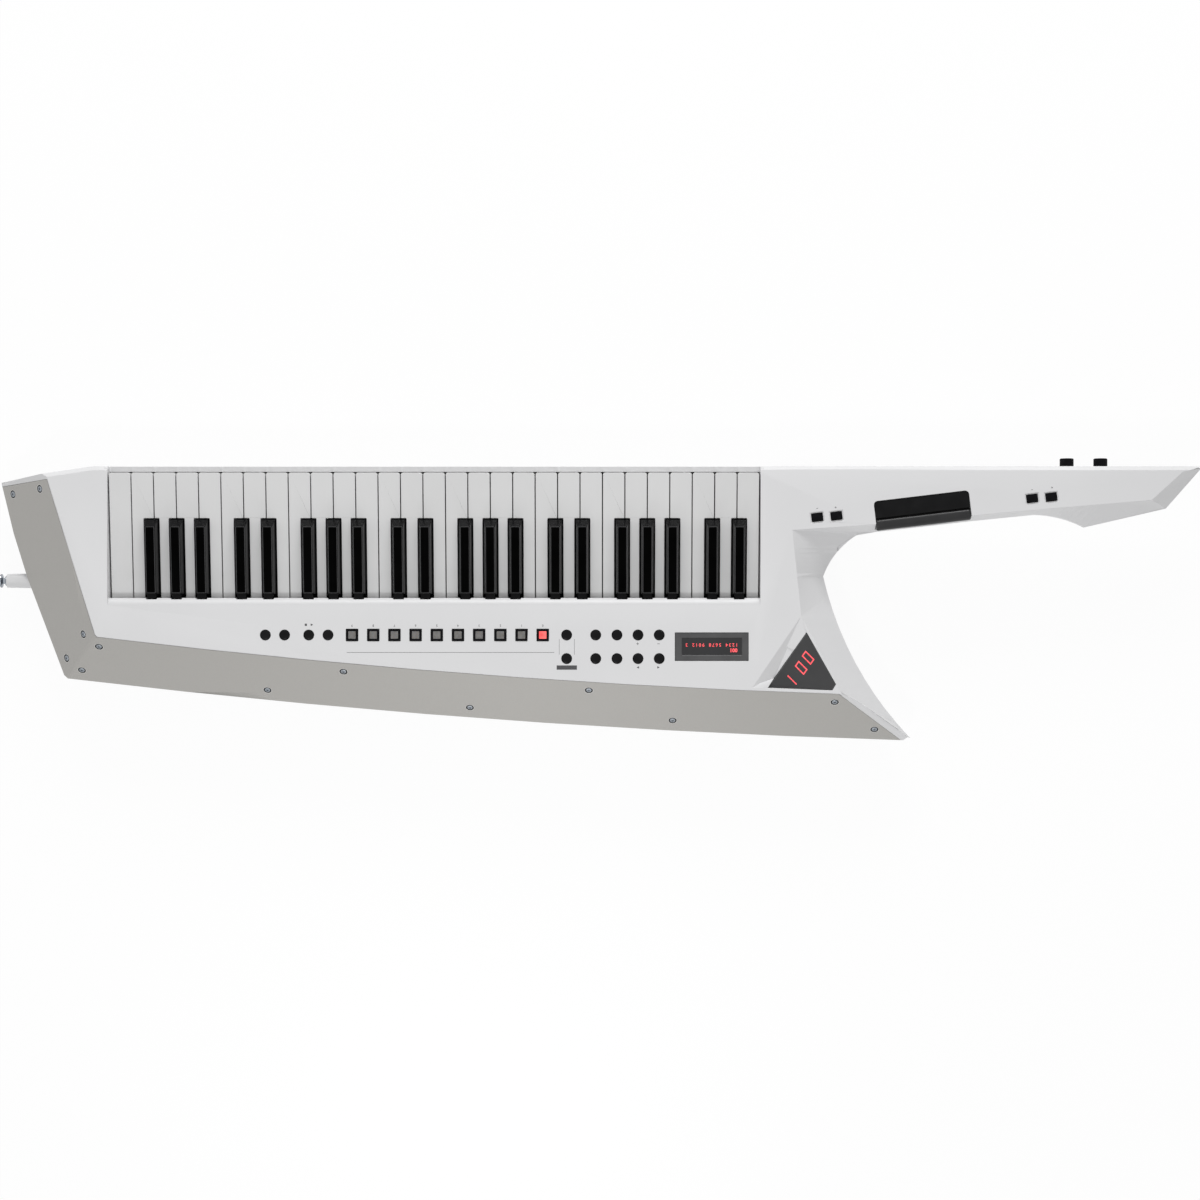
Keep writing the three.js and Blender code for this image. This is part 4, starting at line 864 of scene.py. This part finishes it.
def knob_profile():
    profile = [
        (0, KNOB_SHAFT_START), (KNOB_SHAFT_RADIUS, KNOB_SHAFT_START), (KNOB_SHAFT_RADIUS, KNOB_START),
        (KNOB_RADIUS - KNOB_FOOT, KNOB_START), (KNOB_RADIUS, KNOB_START + KNOB_FOOT),
    ]
    for sine, cosine in quarter_turn(KNOB_EDGE_STEPS):
        profile.append((KNOB_RADIUS - KNOB_EDGE * (1 - cosine), KNOB_END - KNOB_EDGE * (1 - sine)))
    rim = KNOB_RADIUS - KNOB_CAP_INSET
    floor = KNOB_END - KNOB_DISH_DEPTH
    return [*profile, (rim, KNOB_END), (rim - KNOB_DISH, floor), (0, floor)]


def add_knob(body, joint):
    facing = Matrix.Translation(joint_place(joint)) @ turned(-math.pi / 2, "X")
    cap = lathe(knob_profile(), KNOB_FLUTE_SIDES * KNOB_FLUTES, knob_flute)
    add_piece(f"{body}_cap", moved(cap, facing), "black_plastic", body, [body])
    width, length, rise = KNOB_MARK
    floor = KNOB_END - KNOB_DISH_DEPTH
    outline = rectangle(0, KNOB_RADIUS - KNOB_CAP_INSET - length / 2, width, length)
    add_piece(f"{body}_mark", moved(slab(outline, floor - rise, floor + rise), facing), "white_shell", body)


def add_strap_pin():
    low, high = node_box("strap_pin")
    middle = (low + high) / 2
    along = Matrix.Translation((low.x, middle.y, middle.z)) @ turned(math.pi / 2, "Y")
    add_piece("strap_pin_turned", moved(lathe(PIN_PROFILE), along), "strap_chrome", "root", ["strap_pin"])


# Screws, each facing up along its own Z, with the face around it at height 0
def screw_head():
    rings = [raised(circle(SCREW_RADIUS, SCREW_SIDES), -SCREW_DEPTH)]
    for sine, cosine in quarter_turn(SCREW_EDGE_STEPS):
        radius = SCREW_RADIUS - SCREW_EDGE * (1 - cosine)
        rings.append(raised(circle(radius, SCREW_SIDES), SCREW_RISE - SCREW_EDGE * (1 - sine)))
    corners = circle(SOCKET_RADIUS, SOCKET_SIDES)
    per_side = SCREW_SIDES // SOCKET_SIDES
    socket = []
    for step in range(SCREW_SIDES):
        side, part = divmod(step, per_side)
        socket.append(corners[side].lerp(corners[(side + 1) % SOCKET_SIDES], part / per_side))
    return stacked([*rings, raised(socket, SCREW_RISE), raised(socket, SCREW_RISE - SOCKET_DEPTH)])


def blade_frames():
    """The place and the direction out of the blade's face at each screw."""
    mesh = frame["nodes"]["edge_blade"].data
    tree = BVHTree.FromPolygons([v.co for v in mesh.vertices], [list(p.vertices) for p in mesh.polygons])
    above = node_box("top_case")[1].z + PROBE_HEIGHT
    probes = [Vector((*point, above)) for point in circle(PROBE_RADIUS, PROBE_COUNT)]
    places = []
    for x, y in BLADE_SCREWS:
        starts = [(probe + Vector((x, y, 0))) * MM for probe in probes]
        a, b, c = (tree.ray_cast(start, Vector((0, 0, -1)))[0] / MM for start in starts)
        normal = (b - a).cross(c - a).normalized()
        normal = normal if normal.z > 0 else -normal
        height = plane_height(a, normal, x, y)
        facing = normal.to_track_quat("Z", "Y").to_matrix().to_4x4()
        places.append(Matrix.Translation((x, y, height)) @ facing)
    return places


def placed(shape, places):
    return joined([moved(shape, place) for place in places])


def add_screws():
    places = blade_frames()
    heads = [place @ turned(index * SCREW_TURN) for index, place in enumerate(places)]
    downwards = turned(math.pi, "X")
    seats = [(x, y, BACK_SEAT_RISE) for x, y in BODY_BACK_SCREWS]
    seats += [(x, y, NECK_BACK_HEIGHT + BACK_SEAT_RISE) for x, y in NECK_BACK_SCREWS]
    backs = [Matrix.Translation(seat) @ downwards for seat in seats]
    back_heads = [place @ turned(index * SCREW_TURN) for index, place in enumerate(backs)]
    add_piece("blade_screws", placed(screw_head(), heads), "screw_steel", "root")
    # A dark ring round each blade screw's head: painted shade in the gap to its seat
    add_piece("screw_shade_rings", placed(tube(*SCREW_SHADE_RING), places), "black_plastic", "root")
    # A pale ring round each seat: a painted highlight on the seat's edge
    add_piece("screw_seat_highlights", placed(tube(*SEAT_HIGHLIGHT_RING), places), "blade_grey", "root", material="seat_painted_highlight")
    add_piece("back_screws", placed(screw_head(), back_heads), "screw_steel", "root")


# Jacks
def add_jacks():
    """Sockets on the ceiling of the bay in the back, facing the way the back faces."""
    x, y, ceiling = JACK_BAY
    hanging = Matrix.Translation((x, y, ceiling)) @ turned(math.pi, "X")
    bodies, contacts = [], []
    for along, outer, inner, height in (*ROUND_JACKS, DIN_JACK):
        bodies.append(shifted(tube(outer, inner, -JACK_FLOOR, height), along, 0))
        bodies.append(shifted(slab(circle(outer), -JACK_FLOOR, JACK_FLOOR), along, 0))
    rim, rise = JACK_BUSH
    for along, _, inner, height in ROUND_JACKS:
        contacts.append(shifted(tube(inner + rim, inner, height, height + rise), along, 0))
    radius, reach, length = DIN_PIN
    pin = slab(circle(radius), 0, length)
    for degrees in DIN_PIN_TURNS:
        turn = math.radians(degrees)
        contacts.append(shifted(pin, DIN_JACK[0] + reach * math.cos(turn), reach * math.sin(turn)))
    add_piece("jack_bodies", moved(joined(bodies), hanging), "black_plastic", "root")
    add_piece("jack_contacts", moved(joined(contacts), hanging), "screw_steel", "root")


# Displays
def add_text_display():
    x, y, width, depth = TEXT_BEZEL
    outer = filleted(rectangle(x, y, width, depth), BEZEL_CORNER)
    top = TEXT_BASE + BEZEL_THICKNESS
    rings = [raised(outer, TEXT_BASE)]
    for sine, cosine in quarter_turn(EDGE_STEPS):
        rings.append(raised(inset(outer, BEZEL_EDGE * (1 - cosine)), top - BEZEL_EDGE * (1 - sine)))
    x, y, width, depth = TEXT_WINDOW
    hole = filleted(rectangle(x, y, width, depth), WINDOW_CORNER)
    rings += [raised(inset(hole, -WINDOW_SLOPE), top), raised(hole, TEXT_BASE + WINDOW_FLOOR)]
    rings += [raised(hole, TEXT_BASE)]
    add_piece("display_bezel", band(rings), "gloss_black", "root", material="bezel_grey")
    window_top = TEXT_BASE + WINDOW_FLOOR
    window = slab(inset(hole, -TOUCH), TEXT_BASE, window_top)
    add_piece("display_window", window, "display_lens", "root", material="window_grey")
    height = window_top - GLYPH_SINK + PRINT_THICKNESS / 2
    number = lettering(READOUT_NUMBER, READOUT_NUMBER_HEIGHT, BOLD_WEIGHT)
    digits = [shifted(number, *READOUT_NUMBER_PLACE)]
    step = READOUT_ROW_LENGTH / len(READOUT_ROW)
    x, y = READOUT_ROW_PLACE
    for index, digit in enumerate(READOUT_ROW):
        if digit.isdigit():
            along = x + (len(READOUT_ROW) / 2 - index) * step - step / 2
            digits.append(shifted(lettering(digit, READOUT_ROW_HEIGHT, ROW_WEIGHT), along, y))
    add_piece("display_readout", shifted(joined(digits), 0, 0, height), "display_red", "root")


def lens_height(x, y):
    a, b, c = (Vector(corner) for corner in LENS_PLANE)
    return plane_height(a, (b - a).cross(c - a), x, y)


def on_lens(shape):
    """The flat shape laid on the lens's slanted plane."""
    return [Vector((v.x, v.y, v.z + lens_height(v.x, v.y))) for v in shape[0]], shape[1]


def display_strokes(start, across, down):
    """Outlines of a zero's two halves, or of a one's where across is None."""
    along = down.normalized()
    halves = []
    for begin, way in ((start, 1), (start + down, -1)):
        reach = along * way * (down.length - DIGIT_SPLIT) / 2
        if across is None:
            side = Vector((-along.y, along.x)) * DIGIT_STROKE / 2
            halves.append([begin - side, begin + reach - side, begin + reach + side, begin + side])
            continue
        over = across.normalized()
        slant = DIGIT_STROKE / abs(over.cross(along))
        corner, far = begin + (over + along * way) * slant, begin + across
        far_corner = far + (along * way - over) * slant
        halves.append([
            begin, begin + reach, begin + reach + over * slant, corner,
            far_corner, far + reach - over * slant, far + reach, far,
        ])
    return halves


def add_number_display():
    corners = [Vector(corner[:2]) for corner in LENS_CORNERS]
    outer = filleted(inset(corners, LENS_GAP), LENS_CORNER)
    inner = filleted(inset(corners, LENS_GAP + LENS_BORDER), LENS_CORNER)
    base = slab(outer, -LENS_THICKNESS, 0, LENS_EDGE)
    lens = slab(inner, -LENS_THICKNESS / 2, LENS_RISE, LENS_RISE / 2)
    add_piece("number_lens_frame", on_lens(base), "gloss_black", "root", material="bezel_grey")
    add_piece("number_lens", on_lens(lens), "display_lens", "root")
    across, down = Vector(DIGIT_WIDTH), Vector(DIGIT_HEIGHT)
    strokes = display_strokes(Vector(ONE_START), None, down)
    for start in ZERO_STARTS:
        strokes += display_strokes(Vector(start), across, down)
    low = LENS_RISE - GLYPH_SINK
    digits = joined([slab(outline, low, low + GLYPH_THICKNESS) for outline in strokes])
    add_piece("number_digits", on_lens(digits), "display_red", "root")


# Print on the panel and the neck
def sign_bars(size, thickness, crossed):
    """A minus sign, or a plus sign where it is crossed, about the origin."""
    bars = [rectangle(0, 0, size, thickness)]
    return bars + [rectangle(0, 0, thickness, size)] if crossed else bars


def mark_outlines():
    """Outlines of the plain marks: lines, brackets, arrows, plus and minus signs."""
    marks = [rectangle(*bar) for bar in (PAD_LINE, *BRACKETS, COLUMN_BAR, STOP_MARK)]
    marks += [flat_points(arrow) for arrow in (PLAY_ARROW, LEFT_ARROW, RIGHT_ARROW)]
    rows = ((PANEL_SIGNS, PANEL_SIGN, 0), (NECK_SIGNS, NECK_SIGN, NECK_SLOPE))
    for signs, size, angle in rows:
        turn = Matrix.Rotation(angle, PLANE_ROWS)
        for x, y, crossed in signs:
            for bar in sign_bars(*size, crossed):
                marks.append([Vector((x, y)) + turn @ point for point in bar])
    return marks


def add_print(face):
    low, high = face - PRINT_SINK, face + PRINT_THICKNESS
    shapes = [slab(outline, low, high) for outline in mark_outlines()]
    for index, x in enumerate(pad_places()):
        digit = lettering(str(PAD_COUNT - 1 - index), DIGIT_PRINT_HEIGHT)
        shapes.append(shifted(digit, x, DIGIT_PRINT_Y, face + PRINT_THICKNESS / 2))
    add_piece("panel_print", joined(shapes), "print_grey", "root")


# Surroundings
def seen_directly(nodes, links):
    """1 for rays that show the background itself: from the camera, a gloss or through glass."""
    path = nodes.new("ShaderNodeLightPath")
    total = path.outputs["Is Camera Ray"]
    for ray in ("Is Glossy Ray", "Is Transmission Ray"):
        either = nodes.new("ShaderNodeMath")
        either.operation = "MAXIMUM"
        links.new(total, either.inputs[0])
        links.new(path.outputs[ray], either.inputs[1])
        total = either.outputs["Value"]
    return total


def add_world():
    world = bpy.data.worlds.new("studio")
    bpy.context.scene.world = world
    world.use_nodes = True
    nodes, links = world.node_tree.nodes, world.node_tree.links
    background = nodes["Background"]
    background.inputs["Color"].default_value = WHITE
    level = nodes.new("ShaderNodeMapRange")
    level.inputs["To Min"].default_value = AMBIENT
    level.inputs["To Max"].default_value = 1
    links.new(seen_directly(nodes, links), level.inputs["Value"])
    links.new(level.outputs["Result"], background.inputs["Strength"])


def add_floor():
    """A pale floor that shows nearly white but keeps the object's shadow."""
    outline = rectangle(0, 0, FLOOR_REACH, FLOOR_REACH)
    material = surface("pale_floor", *FLOOR_SURFACE)
    floor = mesh_piece("floor", (raised(outline, -FLOOR_DROP), [[0, 1, 2, 3]]), material)
    nodes, links = material.node_tree.nodes, material.node_tree.links
    share = nodes.new("ShaderNodeMath")
    share.operation = "MULTIPLY"
    share.inputs[1].default_value = FLOOR_GLOW
    links.new(seen_directly(nodes, links), share.inputs[0])
    mix = nodes.new("ShaderNodeMixShader")
    links.new(share.outputs["Value"], mix.inputs["Fac"])
    links.new(nodes["Principled BSDF"].outputs["BSDF"], mix.inputs[1])
    links.new(nodes.new("ShaderNodeEmission").outputs["Emission"], mix.inputs[2])
    links.new(mix.outputs["Shader"], nodes["Material Output"].inputs["Surface"])


def add_lamp(name, place, target, size, power):
    light = bpy.data.lights.new(name, "AREA")
    light.shape = "RECTANGLE"
    light.size, light.size_y = size[0] * MM, size[1] * MM
    light.energy = power
    lamp = bpy.data.objects.new(name, light)
    bpy.context.scene.collection.objects.link(lamp)
    lamp.location = Vector(place) * MM
    lamp.rotation_euler = (Vector(target) - Vector(place)).to_track_quat("-Z", "Y").to_euler()


def add_camera():
    data = bpy.data.cameras.new("camera")
    data.lens = CAMERA_LENS
    data.sensor_width = SENSOR_WIDTH
    camera = bpy.data.objects.new("camera", data)
    bpy.context.scene.collection.objects.link(camera)
    camera.location = CAMERA_PLACE * MM
    bpy.context.scene.camera = camera


add_camera()
bpy.context.scene.view_settings.view_transform = "Standard"
add_world()
add_floor()
for lamp_name, lamp_values in LAMPS.items():
    add_lamp(lamp_name, *lamp_values)
MATERIALS = make_materials()

soften_shell("top_case", "white_shell", SHELL_EDGE)
soften_shell("bottom_case", "white_shell", SHELL_EDGE)
soften_shell("edge_blade", "blade_grey", BLADE_EDGE)
plain_node("key_chassis", "chassis_plastic")
plain_node("main_board", "circuit_board")

first_key, second_key = node_box("white_key_01")[0], node_box("white_key_02")[0]
key_pivot = joint_place("white_key_01_press")
KEY_PITCH = second_key.x - first_key.x

add_keys(first_key.x - KEY_GAP / 2, Vector((0, key_pivot.y, key_pivot.z)))
add_panel_buttons()
add_neck_buttons()
add_modulation_bar()
add_knob("control_knob", "control_turn")
add_knob("volume_knob", "volume_turn")
add_strap_pin()
add_screws()
add_jacks()
add_text_display()
add_number_display()
add_print(node_box("top_case")[1].z)
